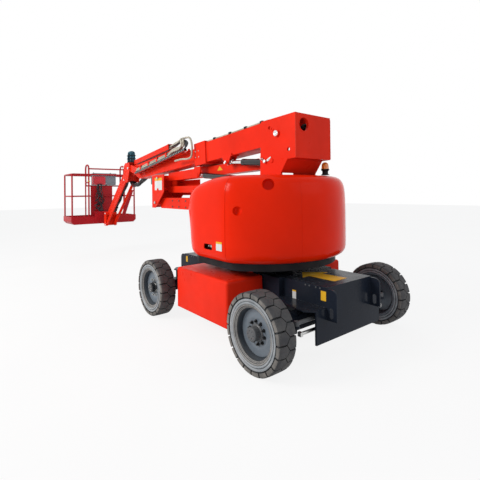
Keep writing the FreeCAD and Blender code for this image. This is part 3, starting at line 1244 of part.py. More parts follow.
def cable_tray():
    """Tray on the fly boom's left side, with the cable chain lying in it."""
    a, b, length = tray_line()
    t = TRAY_THICKNESS
    y0 = TRAY_Y0
    y1 = TRAY_Y0 + TRAY_WIDTH
    floor = bar(a, b, 0, length, t, 0, y0, y1)
    lip = bar(a, b, 0, length, t, TRAY_LIP_HEIGHT, y1 - t, y1)
    wall = bar(a, b, 0, length, t, TRAY_HEIGHT, y0, y0 + t)
    arms = [bar(a, b, start, start + TRAY_ARM_LENGTH, t, TRAY_ARM_HEIGHT, FLY_HALF_WIDTH, y0 + 1)
            for start in (60, length / 2, length - 120)]
    return fused([floor, lip, wall] + arms)


def cable_chain():
    """Cable chain lying along the outer half of the tray."""
    a, b, length = tray_line()
    y1 = TRAY_Y0 + TRAY_WIDTH - TRAY_THICKNESS
    return bar(a, b, 30, length - 60, 0, CHAIN_HEIGHT, y1 - CHAIN_WIDTH, y1)


def conduits():
    """Two pale conduits from the hose tube's mouth, round and down, then along the tray."""
    drop = CONDUIT_RADIUS - HOSE_TUBE_SIZE / 2 + HOSE_TUBE_WALL
    inside = along(HOSE_TUBE_REAR, HOSE_TUBE_FRONT, 60, drop)
    behind = along(HOSE_TUBE_REAR, HOSE_TUBE_FRONT, -200, drop)
    lane_y = TRAY_Y0 + TRAY_THICKNESS + CONDUIT_RADIUS
    a, b, length = tray_line()
    start = CONDUIT_LOOP_AHEAD + 180
    hoses = []
    for k in (0, 1):
        step = k * (2 * CONDUIT_RADIUS + 1)
        y = step - CONDUIT_RADIUS - 0.5
        back = a[0] + CONDUIT_LOOP_AHEAD - step
        top = behind[1] + step * 0.4
        turn = along(a, b, start - 190 - step, CONDUIT_RADIUS + 110)
        lane = [along(a, b, distance, CONDUIT_RADIUS + step)
                for distance in (start - step * 0.4, length - 60)]
        route = [(inside[0], y, inside[1]), (behind[0], y, behind[1]), (back + 170, y + 8, top + 24),
                 (back + 30, (y + lane_y) / 2, top + 30), (back - 60, lane_y, top - 30),
                 (turn[0], lane_y, turn[1])]
        route += [(x, lane_y, z) for x, z in lane]
        hoses.append(sweep(route, CONDUIT_RADIUS))
    return Part.makeCompound(hoses)


def knuckle_hoses():
    """Hose loops that stand over the knuckle, both ends on the jib head."""
    x = KNUCKLE_PIN[0] + 75
    z = JIB_TOP_PIN[1] + HEAD_ROOF_RISE + HEAD_ROOF_THICKNESS
    loops = []
    for y in KNUCKLE_HOSE_LANES:
        rise = [(-68, 0), (-68, 110), (-58, 210), (-1, 262), (58, 206), (68, 110), (68, 0)]
        loops.append(sweep([(x + dx, y, z + dz) for dx, dz in rise], KNUCKLE_HOSE_RADIUS))
    return Part.makeCompound(loops)


# Jib, carrier and rotator

def head_pins(top, low, radius, y1):
    """Pins through a bracket's plates: the upper one whole, the lower one in two stubs."""
    pins = [rod_y(top, radius, -y1 - HEAD_PIN_CAP, y1 + HEAD_PIN_CAP)]
    pins += both_sides(rod_y(low, radius, JIB_ARM_HALF_WIDTH + LINK_PIN_START, y1 + HEAD_PIN_CAP))
    return pins


def jib_head():
    """Bracket that stays upright between the fly boom and the jib."""
    knuckle_x, knuckle_z = KNUCKLE_PIN
    top_x, top_z = JIB_TOP_PIN
    low_x, low_z = JIB_LOW_PIN
    y0 = HEAD_PLATE_Y
    y1 = HEAD_PLATE_Y + HEAD_PLATE_THICKNESS
    roof_z = top_z + HEAD_ROOF_RISE
    roof_top = roof_z + HEAD_ROOF_THICKNESS
    roof_x0 = knuckle_x - 24
    roof_x1 = top_x - 44
    outline = [(knuckle_x - 48, knuckle_z + 20), (roof_x0, roof_top), (roof_x1, roof_top),
               (top_x + 42, top_z + 36), (low_x + 42, low_z - 14), (low_x + 14, low_z - 46),
               (knuckle_x + 100, low_z - 62), (knuckle_x + 50, low_z - 30), (knuckle_x - 30, knuckle_z - 60),
               (knuckle_x - 48, knuckle_z - 24)]
    plates = both_sides(prism_xz(outline, y0, y1))
    web = box(HEAD_WEB_X, HEAD_WEB_X + HEAD_ROOF_THICKNESS, -y0 - 1, y0 + 1, low_z - 50, roof_z + 8)
    roof = box(roof_x0, roof_x1, -y0 - 1, y0 + 1, roof_z, roof_top)
    pins = [rod_y(KNUCKLE_PIN, KNUCKLE_PIN_RADIUS, -y1 - 10, y1 + 10)]
    pins += head_pins(JIB_TOP_PIN, JIB_LOW_PIN, JIB_PIN_RADIUS, y1)
    return fused(plates + [web, roof] + pins)


def jib_arm():
    a = JIB_TOP_PIN
    b = CARRIER_TOP_PIN
    w = JIB_ARM_HALF_WIDTH
    h = JIB_ARM_HALF_DEPTH
    step = ARM_CAP_STEP
    length = unit(a, b)[2]
    tube = tube_bar(a, b, JIB_CAP_INSET, length - JIB_CAP_INSET, h, h, -w, w, JIB_ARM_WALL)
    caps = [bar(a, b, start, start + JIB_ARM_WALL, h - step, h - step, -w + step, w - step)
            for start in (JIB_CAP_INSET, length - JIB_CAP_INSET - JIB_ARM_WALL)]
    boss_end = HEAD_PLATE_Y - JIB_BOSS_GAP
    bosses = [rod_y(pin, JIB_BOSS_RADIUS, -boss_end, boss_end) for pin in (a, b)]
    depth = JIB_NECK_HALF_DEPTH
    necks = [bar(a, b, start, start + JIB_NECK_LENGTH, depth, depth, -w, w)
             for start in (0, length - JIB_NECK_LENGTH)]
    return bored(fused([tube] + caps + bosses + necks), (a, b), JIB_PIN_RADIUS, -HEAD_PLATE_Y, HEAD_PLATE_Y)


def jib_link():
    """Two flat bars below the jib arm, one on each side."""
    side = link_bar(JIB_LOW_PIN, CARRIER_LOW_PIN, JIB_LINK_HALF_DEPTH, JIB_LINK_Y0, JIB_LINK_Y1,
                    JIB_PIN_RADIUS)
    return Part.makeCompound(both_sides(side))


def jib_hoses():
    """Black hoses clipped under the jib arm."""
    a = JIB_TOP_PIN
    b = CARRIER_TOP_PIN
    rise = -JIB_ARM_HALF_DEPTH - JIB_HOSE_RADIUS - 1
    x0, z0 = along(a, b, JIB_HOSE_START, rise)
    x1, z1 = along(a, b, unit(a, b)[2] - JIB_HOSE_END, rise)
    pieces = [rod_between(V(x0, y, z0), V(x1, y, z1), JIB_HOSE_RADIUS) for y in (-JIB_HOSE_Y, JIB_HOSE_Y)]
    clip_depth = JIB_ARM_HALF_DEPTH + JIB_HOSE_RADIUS * 2 + JIB_CLIP_MARGIN
    for start in JIB_CLIP_PLACES:
        pieces.append(bar(a, b, start, start + JIB_CLIP_LENGTH, clip_depth, -JIB_ARM_HALF_DEPTH,
                          -JIB_CLIP_HALF_WIDTH, JIB_CLIP_HALF_WIDTH))
    return fused(pieces)


def platform_bracket():
    """Bracket at the jib's lower end, with the rotator's housing."""
    top_x, top_z = CARRIER_TOP_PIN
    low_x, low_z = CARRIER_LOW_PIN
    y0 = HEAD_PLATE_Y
    y1 = HEAD_PLATE_Y + HEAD_PLATE_THICKNESS
    web_x = top_x + CARRIER_WEB_OFFSET
    web_end = web_x + CARRIER_WEB_THICKNESS
    outline = [(top_x - 36, top_z + 14), (top_x - 14, top_z + 36), (web_end, top_z + 36),
               (web_end, low_z - 34), (low_x - 14, low_z - 34), (low_x - 36, low_z - 12)]
    plates = both_sides(prism_xz(outline, y0, y1))
    web = box(web_x, web_end, -y0 - 1, y0 + 1, low_z - 34, top_z + 36)
    housing = rod_z(ROTATOR_X, 0, ROTATOR_RADIUS, ROTATOR_Z0, ROTATOR_Z1)
    neck_half = ROTATOR_RADIUS - 6
    neck = box(web_x + 20, ROTATOR_X, -neck_half, neck_half, ROTATOR_Z0 + ROTATOR_NECK_INSET,
               ROTATOR_Z1 - ROTATOR_NECK_INSET)
    bore = rod_z(ROTATOR_X, 0, ROTATOR_SHAFT_RADIUS + RUNNING_CLEARANCE, ROTATOR_Z0 - 1, ROTATOR_Z1 + 1)
    pins = head_pins(CARRIER_TOP_PIN, CARRIER_LOW_PIN, JIB_PIN_RADIUS, y1)
    return fused(plates + [web, housing, neck] + pins).cut(bore)


def basket_mount():
    """Shaft of the rotator with the arms that carry the basket."""
    t = MOUNT_PLATE_THICKNESS
    bottom = ROTATOR_Z0 - ROTATOR_GAP - t
    top = ROTATOR_Z1 + ROTATOR_GAP
    back_x = BASKET_REAR_X - MOUNT_BACK_THICKNESS
    pieces = [rod_z(ROTATOR_X, 0, ROTATOR_SHAFT_RADIUS, bottom, top + t)]
    for z0 in (bottom, top):
        pieces.append(rod_z(ROTATOR_X, 0, ROTATOR_RADIUS, z0, z0 + t))
        pieces.append(box(ROTATOR_X, back_x, -ROTATOR_RADIUS, ROTATOR_RADIUS, z0, z0 + t))
    half = MOUNT_PLATE_HALF_WIDTH
    pieces.append(box(back_x, BASKET_REAR_X, -half, half, bottom, top + t))
    return fused(pieces)


# Basket

def basket_floor():
    """Floor frame with chamfered ends, deck plate and toe boards."""
    x0 = BASKET_REAR_X
    x1 = BASKET_FRONT_X
    w = BASKET_HALF_WIDTH
    z0 = BASKET_BOTTOM
    z1 = BASKET_BOTTOM + FLOOR_FRAME_HEIGHT
    frame = box(x0, x1, -w, w, z0, TOE_BOARD_TOP)
    t = TOE_BOARD_THICKNESS
    room = box(x0 + t, x1 - t, -w + t, w - t, z1, TOE_BOARD_TOP + 1)
    under = box(x0 + t, x1 - t, -w + t + FLOOR_CHAMFER, w - t - FLOOR_CHAMFER, z0 - 1, z1 - 6)
    slope = [(w - FLOOR_CHAMFER, z0), (w + 1, z0 - 1), (w + 1, z0 + FLOOR_CHAMFER), (w, z0 + FLOOR_CHAMFER)]
    wedge = prism_yz(slope, x0 - 1, x1 + 1)
    return cut(frame.cut(room).cut(under), both_sides(wedge))


def rail_x(y, z, x0, x1):
    s = RAIL_SIZE / 2
    return box(x0, x1, y - s, y + s, z - s, z + s)


def rail_y(x, z, y0, y1):
    s = RAIL_SIZE / 2
    return box(x - s, x + s, y0, y1, z - s, z + s)


def post(x, y, z0, z1):
    s = RAIL_SIZE / 2
    return box(x - s, x + s, y - s, y + s, z0, z1)


def rails_left():
    """Left side frame: two corner posts with the top and middle rails."""
    pieces = [post(x, RAIL_Y, RAIL_FOOT, TOP_RAIL_Z) for x in (RAIL_X0, RAIL_X1)]
    pieces += [rail_x(RAIL_Y, z, RAIL_X0, RAIL_X1) for z in (TOP_RAIL_MID_Z, MID_RAIL_Z)]
    return fused(pieces)


def rails_front():
    """Front frame between the corner posts."""
    inner = RAIL_Y - RAIL_SIZE / 2
    pieces = [rail_y(RAIL_X1, z, -inner, inner) for z in (TOP_RAIL_MID_Z, MID_RAIL_Z)]
    pieces += [post(RAIL_X1, y, RAIL_FOOT, TOP_RAIL_MID_Z) for y in (-FRONT_POST_Y, FRONT_POST_Y)]
    return fused(pieces)


def rails_rear():
    """Rear frame between the corner posts, with the brace and the two guard loops."""
    s = RAIL_SIZE / 2
    inner = RAIL_Y - s
    shelf_z = CONTROL_BOX[4] - s
    loop_x = RAIL_X0 + GUARD_DEPTH
    pieces = [rail_y(RAIL_X0, z, -inner, inner) for z in (TOP_RAIL_MID_Z, MID_RAIL_Z)]
    for y in (GUARD_Y0, GUARD_Y1):
        pieces.append(post(RAIL_X0, y, RAIL_FOOT, GUARD_TOP_Z))
        pieces.append(post(loop_x, y, shelf_z - s, GUARD_TOP_Z))
        pieces.append(rail_x(y, GUARD_TOP_Z - s, RAIL_X0, loop_x))
        pieces.append(rail_x(y, TOP_RAIL_Z - GUARD_TIE_DROP, RAIL_X0, loop_x))
    pieces.append(rail_y(RAIL_X0, GUARD_TOP_Z - s, GUARD_Y0, GUARD_Y1))
    pieces.append(rail_y(loop_x, shelf_z, GUARD_Y0, GUARD_Y1))
    corners = [(-inner, BRACE_TOP_Z), (-inner + 90, BRACE_TOP_Z), (GUARD_Y0 + 60, TOE_BOARD_TOP),
               (GUARD_Y0 - 30, TOE_BOARD_TOP)]
    pieces.append(prism_yz(corners, RAIL_X0 - s, RAIL_X0 + s))
    return fused(pieces)


def control_box():
    x0, x1, y0, y1, z0, z1 = CONTROL_BOX
    body = box(x0, x1, y0, y1, z0, z1)
    slope = prism_xz([(x1 - 90, z1 + 1), (x1 + 1, z1 + 1), (x1 + 1, z1 - 70)], y0 - 1, y1 + 1)
    return body.cut(slope)


def basket_panel():
    x0 = RAIL_X0 + RAIL_SIZE / 2
    return box(x0, x0 + PANEL_THICKNESS, PANEL_Y0, PANEL_Y1, RAIL_FOOT, PANEL_TOP)


def wheels():
    places = [("front_left", AXLE_X, 1), ("front_right", AXLE_X, -1), ("rear_left", -AXLE_X, 1),
              ("rear_right", -AXLE_X, -1)]
    for name, x, side in places:
        save("rim_" + name, rim(x, side))
        save("tyre_" + name, tyre(x, side))


def hoods():
    shell = hood_shell()
    gap = HOOD_SEAM_GAP / 2
    door = hood_piece(shell, HOOD_SEAM_X + gap, FAR, HOOD_SLOT_Y, FAR)
    door = door.common(box(-FAR, FAR, -FAR, FAR, HOOD_BOTTOM + DOOR_LIFT, HOOD_TOP + 1))
    door = fused([door] + door_knuckles())
    rear_side = hood_piece(shell, -FAR, HOOD_SEAM_X - gap, HOOD_REAR_SEAM_Y, FAR)
    rear_side = fused([rear_side] + hood_knuckles())
    centre = hood_piece(shell, -FAR, HOOD_SEAM_X - gap, -HOOD_REAR_SEAM_Y, HOOD_REAR_SEAM_Y)
    for piece in (door, rear_side, centre):
        print("hood", len(piece.Solids), piece.isValid(), round(piece.Volume / 1e9, 4))
    save("door_left", door)
    save("door_right", mirrored(door))
    save("hood_rear_left", rear_side)
    save("hood_rear_right", mirrored(rear_side))
    save("hood_rear_centre", centre)


def main():
    os.makedirs("parts", exist_ok=True)
    wheels()
    hoods()
    left_knuckle = knuckle()
    battery = battery_box()
    side_rails = rails_left()
    pieces = {
        "chassis_frame": chassis_frame(),
        "battery_boxes": Part.makeCompound(both_sides(battery)),
        "axle_front": axle_front(),
        "axle_rear": axle_rear(),
        "slew_ring": slew_ring(),
        "knuckle_left": left_knuckle,
        "knuckle_right": mirrored(left_knuckle),
        "tie_rod": tie_rod(),
        "steer_barrel": steer_barrel(),
        "steer_rod": steer_rod(),
        "turntable": turntable(),
        "counterweight": counterweight(),
        "power_unit": power_unit(),
        "oil_tank": oil_tank(),
        "beacon": beacon(),
        "lower_arm": lower_arm(),
        "lower_link": lower_link(),
        "mid_bracket": mid_bracket(),
        "upper_arm": upper_arm(),
        "upper_link": upper_link(),
        "riser_barrel": barrel(RISER_BASE_PIN, RISER_EYE_PIN, RISER_BARREL_LENGTH),
        "riser_rod": piston_rod(RISER_BASE_PIN, RISER_EYE_PIN),
        "tower_head": tower_head(),
        "lift_barrel": barrel(LIFT_BASE_PIN, LIFT_EYE_PIN, LIFT_BARREL_LENGTH),
        "lift_rod": piston_rod(LIFT_BASE_PIN, LIFT_EYE_PIN),
        "boom_outer": boom_outer(),
        "lift_bracket": lift_bracket(),
        "boom_fly": boom_fly(),
        "hose_tube": hose_tube(),
        "cable_tray": cable_tray(),
        "cable_chain": cable_chain(),
        "conduits": conduits(),
        "knuckle_hoses": knuckle_hoses(),
        "jib_head": jib_head(),
        "jib_arm": jib_arm(),
        "jib_link": jib_link(),
        "jib_hoses": jib_hoses(),
        "platform_bracket": platform_bracket(),
        "basket_mount": basket_mount(),
        "basket_floor": basket_floor(),
        "rails_left": side_rails,
        "rails_right": mirrored(side_rails),
        "rails_front": rails_front(),
        "rails_rear": rails_rear(),
        "control_box": control_box(),
        "basket_panel": basket_panel(),
    }
    for name, shape in pieces.items():
        save(name, shape)
        print(name, len(shape.Solids), shape.isValid(), round(shape.Volume / 1e9, 4))


main()
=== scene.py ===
import json
import math
import random

import bmesh
import bpy
from mathutils import Matrix, Vector

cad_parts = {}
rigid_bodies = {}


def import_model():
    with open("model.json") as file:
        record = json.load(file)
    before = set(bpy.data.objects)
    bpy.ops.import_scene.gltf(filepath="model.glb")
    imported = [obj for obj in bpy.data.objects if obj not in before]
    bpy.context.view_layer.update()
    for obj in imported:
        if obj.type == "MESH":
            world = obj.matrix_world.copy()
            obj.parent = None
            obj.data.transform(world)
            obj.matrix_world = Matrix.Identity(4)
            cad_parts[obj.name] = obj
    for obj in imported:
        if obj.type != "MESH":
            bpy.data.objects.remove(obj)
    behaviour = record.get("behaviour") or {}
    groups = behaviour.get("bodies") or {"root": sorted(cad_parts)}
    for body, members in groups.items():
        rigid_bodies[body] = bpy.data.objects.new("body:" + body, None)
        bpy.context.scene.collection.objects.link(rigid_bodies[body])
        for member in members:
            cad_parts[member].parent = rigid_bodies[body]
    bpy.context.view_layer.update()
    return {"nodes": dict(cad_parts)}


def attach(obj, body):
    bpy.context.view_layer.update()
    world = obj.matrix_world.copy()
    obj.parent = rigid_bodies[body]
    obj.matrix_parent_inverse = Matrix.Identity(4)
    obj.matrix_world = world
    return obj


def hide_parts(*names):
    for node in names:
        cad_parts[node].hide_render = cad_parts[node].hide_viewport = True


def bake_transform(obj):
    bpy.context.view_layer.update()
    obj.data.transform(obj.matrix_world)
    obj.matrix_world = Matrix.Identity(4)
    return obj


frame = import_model()
XM = 2.645  # the slewing axis lies this far behind the middle of the machine
NODES = frame["nodes"]


# Camera and light
def camera():
    loc = Vector((-3.432 - XM, 3.100, 1.591))
    yaw, pitch, roll = (math.radians(a) for a in (-38.74, -0.46, -0.6))
    fwd = Vector((math.cos(yaw) * math.cos(pitch), math.sin(yaw) * math.cos(pitch), -math.sin(pitch)))
    right = fwd.cross(Vector((0, 0, 1))).normalized()
    up = right.cross(fwd)
    r2 = right * math.cos(roll) + up * math.sin(roll)
    u2 = up * math.cos(roll) - right * math.sin(roll)
    data = bpy.data.cameras.new("camera")
    data.sensor_width = 36
    data.lens = 362.1 / 480 * 36
    data.shift_y = -50 / 480
    data.clip_end = 200
    cam = bpy.data.objects.new("camera", data)
    m = Matrix((r2, u2, -fwd)).transposed().to_4x4()
    m.translation = loc
    cam.matrix_world = m
    bpy.context.scene.collection.objects.link(cam)
    bpy.context.scene.camera = cam


def area_light(name, loc, aim, size, power, color=(1, 1, 1)):
    data = bpy.data.lights.new(name, "AREA")
    data.shape = "RECTANGLE"
    data.size, data.size_y = size
    data.energy = power
    data.color = color
    lamp = bpy.data.objects.new(name, data)
    lamp.location = loc
    lamp.rotation_euler = (Vector(aim) - Vector(loc)).to_track_quat("-Z", "Y").to_euler()
    bpy.context.scene.collection.objects.link(lamp)


def seen_rays(nt, kinds=("Is Camera Ray", "Is Glossy Ray", "Is Transmission Ray")):
    """Socket that is 1 for rays that come straight from the camera, a gloss or a glass."""
    path = nt.nodes.new("ShaderNodeLightPath")
    out = path.outputs[kinds[0]]
    for kind in kinds[1:]:
        m = nt.nodes.new("ShaderNodeMath")
        m.operation = "MAXIMUM"
        nt.links.new(out, m.inputs[0])
        nt.links.new(path.outputs[kind], m.inputs[1])
        out = m.outputs[0]
    return out


def world():
    w = bpy.data.worlds.new("studio")
    bpy.context.scene.world = w
    w.use_nodes = True
    nt = w.node_tree
    nt.nodes.clear()
    out = nt.nodes.new("ShaderNodeOutputWorld")
    mix = nt.nodes.new("ShaderNodeMixShader")
    light = nt.nodes.new("ShaderNodeBackground")
    light.inputs[0].default_value = (0.93, 0.96, 1.0, 1)
    light.inputs[1].default_value = 0.60
    white = nt.nodes.new("ShaderNodeBackground")
    white.inputs[0].default_value = (1, 1, 1, 1)
    nt.links.new(seen_rays(nt), mix.inputs[0])
    nt.links.new(light.outputs[0], mix.inputs[1])
    nt.links.new(white.outputs[0], mix.inputs[2])
    nt.links.new(mix.outputs[0], out.inputs[0])
    bpy.context.scene.view_settings.view_transform = "Standard"


# Materials
def material(name):
    m = bpy.data.materials.new(name)
    m.use_nodes = True
    nt = m.node_tree
    bsdf = nt.nodes["Principled BSDF"]
    return m, nt, bsdf


def noise(nt, scale, detail=4, rough=0.55, stretch=None, kind="ShaderNodeTexNoise"):
    co = nt.nodes.new("ShaderNodeTexCoord")
    n = nt.nodes.new(kind)
    if stretch:
        mp = nt.nodes.new("ShaderNodeMapping")
        mp.inputs["Scale"].default_value = stretch
        nt.links.new(co.outputs["Object"], mp.inputs[0])
        nt.links.new(mp.outputs[0], n.inputs["Vector"])
    else:
        nt.links.new(co.outputs["Object"], n.inputs["Vector"])
    n.inputs["Scale"].default_value = scale
    if "Detail" in n.inputs:
        n.inputs["Detail"].default_value = detail
    if "Roughness" in n.inputs:
        n.inputs["Roughness"].default_value = rough
    return n


def ramp(nt, source, stops):
    r = nt.nodes.new("ShaderNodeValToRGB")
    els = r.color_ramp.elements
    while len(els) < len(stops):
        els.new(0.5)
    for e, (pos, col) in zip(els, stops):
        e.position = pos
        e.color = (*col, 1) if len(col) == 3 else (col[0],) * 3 + (1,)
    nt.links.new(source, r.inputs[0])
    return r


def scaled(c, k):
    return tuple(min(1.0, x * k) for x in c)


def paint(name, color, rough=0.32, coat=0.05, vary=0.12, dust=0.0, bump=0.02, metallic=0.0, grain=900.0,
          gloss=0.18):
    """Sprayed paint: slow shade changes, fine specks, orange-peel bump and dust on what faces up."""
    m, nt, b = material(name)
    big = noise(nt, 1.7, 5)
    base = ramp(nt, big.outputs["Fac"], [(0.3, scaled(color, 1 - vary)), (0.7, scaled(color, 1 + vary))])
    last = base.outputs[0]
    fine = noise(nt, 55.0, 3)
    speck = ramp(nt, fine.outputs["Fac"], [(0.62, (0, 0, 0)), (0.80, (1, 1, 1))])
    mx = nt.nodes.new("ShaderNodeMix")
    mx.data_type = "RGBA"
    mul = nt.nodes.new("ShaderNodeMath")
    mul.operation = "MULTIPLY"
    mul.inputs[1].default_value = 0.10
    nt.links.new(speck.outputs[0], mul.inputs[0])
    nt.links.new(mul.outputs[0], mx.inputs["Factor"])
    nt.links.new(last, mx.inputs["A"])
    mx.inputs["B"].default_value = (*scaled(color, 0.55), 1)
    last = mx.outputs["Result"]
    if dust:
        geo = nt.nodes.new("ShaderNodeNewGeometry")
        sep = nt.nodes.new("ShaderNodeSeparateXYZ")
        nt.links.new(geo.outputs["Normal"], sep.inputs[0])
        up = ramp(nt, sep.outputs[2], [(0.3, (0, 0, 0)), (1.0, (1, 1, 1))])
        cloud = noise(nt, 3.5, 6, 0.65)
        cl = ramp(nt, cloud.outputs["Fac"], [(0.35, (0, 0, 0)), (0.75, (1, 1, 1))])
        k = nt.nodes.new("ShaderNodeMath")
        k.operation = "MULTIPLY"
        nt.links.new(up.outputs[0], k.inputs[0])
        nt.links.new(cl.outputs[0], k.inputs[1])
        k2 = nt.nodes.new("ShaderNodeMath")
        k2.operation = "MULTIPLY"
        k2.inputs[1].default_value = dust
        nt.links.new(k.outputs[0], k2.inputs[0])
        md = nt.nodes.new("ShaderNodeMix")
        md.data_type = "RGBA"
        nt.links.new(k2.outputs[0], md.inputs["Factor"])
        nt.links.new(last, md.inputs["A"])
        md.inputs["B"].default_value = (0.42, 0.38, 0.33, 1)
        last = md.outputs["Result"]
    nt.links.new(last, b.inputs["Base Color"])
    rr = ramp(nt, noise(nt, 7.0, 5).outputs["Fac"], [(0.3, (rough * 0.8,)), (0.75, (min(1, rough * 1.5),))])
    nt.links.new(rr.outputs[0], b.inputs["Roughness"])
    b.inputs["Metallic"].default_value = metallic
    b.inputs["Specular IOR Level"].default_value = gloss
    b.inputs["Coat Weight"].default_value = coat
    b.inputs["Coat Roughness"].default_value = 0.08
    bp = nt.nodes.new("ShaderNodeBump")
    bp.inputs["Strength"].default_value = bump
    bp.inputs["Distance"].default_value = 0.002
    nt.links.new(noise(nt, grain, 2).outputs["Fac"], bp.inputs["Height"])
    nt.links.new(bp.outputs[0], b.inputs["Normal"])
    return m


def rubber(name, color, light, bump=0.3, rough=0.75, mix_lo=0.35, mix_hi=0.7):
    m, nt, b = material(name)
    b.inputs["Specular IOR Level"].default_value = 0.25
    big = noise(nt, 9.0, 6, 0.6)
    base = ramp(nt, big.outputs["Fac"], [(mix_lo, color), (mix_hi, light)])
    nt.links.new(base.outputs[0], b.inputs["Base Color"])
    rr = ramp(nt, noise(nt, 30.0, 4).outputs["Fac"], [(0.3, (rough - 0.12,)), (0.7, (min(1, rough + 0.12),))])
    nt.links.new(rr.outputs[0], b.inputs["Roughness"])
    bp = nt.nodes.new("ShaderNodeBump")
    bp.inputs["Strength"].default_value = bump
    bp.inputs["Distance"].default_value = 0.0015
    nt.links.new(noise(nt, 260.0, 4, 0.6).outputs["Fac"], bp.inputs["Height"])
    nt.links.new(bp.outputs[0], b.inputs["Normal"])
    return m


def metal(name, color, rough=0.25, stretch=None, bump=0.05):
    m, nt, b = material(name)
    n = noise(nt, 60.0, 4, 0.6, stretch)
    base = ramp(nt, n.outputs["Fac"], [(0.3, scaled(color, 0.85)), (0.7, scaled(color, 1.1))])
    nt.links.new(base.outputs[0], b.inputs["Base Color"])
    b.inputs["Metallic"].default_value = 1.0
    rr = ramp(nt, n.outputs["Fac"], [(0.3, (rough * 0.8,)), (0.7, (rough * 1.3,))])
    nt.links.new(rr.outputs[0], b.inputs["Roughness"])
    bp = nt.nodes.new("ShaderNodeBump")
    bp.inputs["Strength"].default_value = bump
    bp.inputs["Distance"].default_value = 0.001
    nt.links.new(n.outputs["Fac"], bp.inputs["Height"])
    nt.links.new(bp.outputs[0], b.inputs["Normal"])
    return m


M = {
    "red": paint("red_paint", (0.74, 0.022, 0.006), dust=0.01, coat=0.0, gloss=0.07),
    "hood": paint("hood_paint", (0.76, 0.018, 0.002), rough=0.16, coat=0.0, vary=0.07, gloss=0.06),
    "dark_red": paint("basket_paint", (0.42, 0.014, 0.020), rough=0.35, dust=0.04, gloss=0.12),
    "panel_red": paint("console_red", (0.60, 0.045, 0.060), rough=0.4, coat=0.0),
    "grey": paint("chassis_paint", (0.013, 0.017, 0.027), rough=0.22, coat=0.0, vary=0.2, dust=0.03, bump=0.04, gloss=0.09),
    "mid_grey": paint("hub_paint", (0.105, 0.108, 0.115), rough=0.4, vary=0.2, dust=0.1),
    "rim": paint("rim_paint", (0.125, 0.150, 0.180), rough=0.36, vary=0.14, dust=0.12, gloss=0.4),
    # rim inside paint: the rim's own grey darkened as painted shade for the well of the rim
    "rim_painted_shade": paint("rim_inside_painted_shade", (0.040, 0.050, 0.063), rough=0.4, vary=0.2, dust=0.1, gloss=0.3),
    "bead": rubber("bead_rubber", (0.19, 0.185, 0.18), (0.31, 0.295, 0.28), rough=0.6),
    # tread, lug-side and sidewall rubbers are one grey rubber in shaded and lit copies: the tread darker as painted
    # shade, the lug sides and sidewall lighter as painted light
    "tread": rubber("tread_rubber_painted_shade", (0.050, 0.050, 0.054), (0.095, 0.092, 0.09)),
    # groove rubber: painted shade, a darker rubber laid in the grooves of the tyre wall and the rim lip
    "ring": rubber("groove_rubber_painted_shade", (0.040, 0.043, 0.047), (0.085, 0.090, 0.095), rough=0.7),
    "lug": rubber("lug_side_rubber_painted_light", (0.11, 0.105, 0.10), (0.22, 0.205, 0.19), rough=0.8),
    "sidewall": rubber("sidewall_rubber_painted_light", (0.22, 0.24, 0.26), (0.36, 0.375, 0.39), rough=0.6),
    "black": paint("black_paint", (0.012, 0.012, 0.014), rough=0.18, coat=0.6, vary=0.2),
    "matt": paint("matt_black", (0.010, 0.010, 0.012), rough=0.55, coat=0.0, vary=0.3, bump=0.1),
    "hose": rubber("hose_rubber", (0.012, 0.012, 0.014), (0.035, 0.035, 0.040), rough=0.45),
    "teal": rubber("hose_sleeve_teal", (0.012, 0.060, 0.090), (0.06, 0.17, 0.22), bump=0.8, rough=0.5),
    "cream": rubber("conduit_cream", (0.30, 0.27, 0.21), (0.56, 0.52, 0.44), bump=0.3, rough=0.5),
    "steel": metal("bare_steel", (0.60, 0.60, 0.59), 0.35),
    "chrome": metal("chrome_rod", (0.80, 0.80, 0.80), 0.10),
    "iron": metal("cast_iron", (0.10, 0.10, 0.10), 0.6, bump=0.4),
    "weld": paint("weld_bead", (0.70, 0.035, 0.015), rough=0.5, coat=0.0, bump=0.6, grain=160.0),
    "plate_grey": paint("grey_paint", (0.15, 0.16, 0.17), rough=0.45, coat=0.1),
    "lid": paint("lid_plastic", (0.21, 0.25, 0.27), rough=0.5, coat=0.0, vary=0.15, bump=0.1),
    "box_grey": paint("console_paint", (0.19, 0.205, 0.23), rough=0.42, coat=0.1, vary=0.15),
    "lamp": paint("lamp_paint", (0.060, 0.115, 0.105), rough=0.5, coat=0.1, vary=0.3),
    "yellow": paint("yellow_label", (0.72, 0.40, 0.02), rough=0.45, coat=0.1, vary=0.08),
    "white": paint("white_label", (0.62, 0.62, 0.62), rough=0.45, coat=0.1, vary=0.06),
}


def amber():
    m, nt, b = material("amber_lens")
    n = noise(nt, 18.0, 3)
    base = ramp(nt, n.outputs["Fac"], [(0.3, (0.75, 0.17, 0.01)), (0.7, (0.95, 0.30, 0.02))])
    nt.links.new(base.outputs[0], b.inputs["Base Color"])
    b.inputs["Roughness"].default_value = 0.15
    b.inputs["Transmission Weight"].default_value = 0.35
    b.inputs["Coat Weight"].default_value = 0.6
    return m


M["amber"] = amber()


# Shapes, given from the slewing axis
def basis(d):
    d = Vector(d).normalized()
    a = Vector((0, 0, 1)) if abs(d.z) < 0.9 else Vector((1, 0, 0))
    u = d.cross(a).normalized()
    return u, d.cross(u).normalized(), d


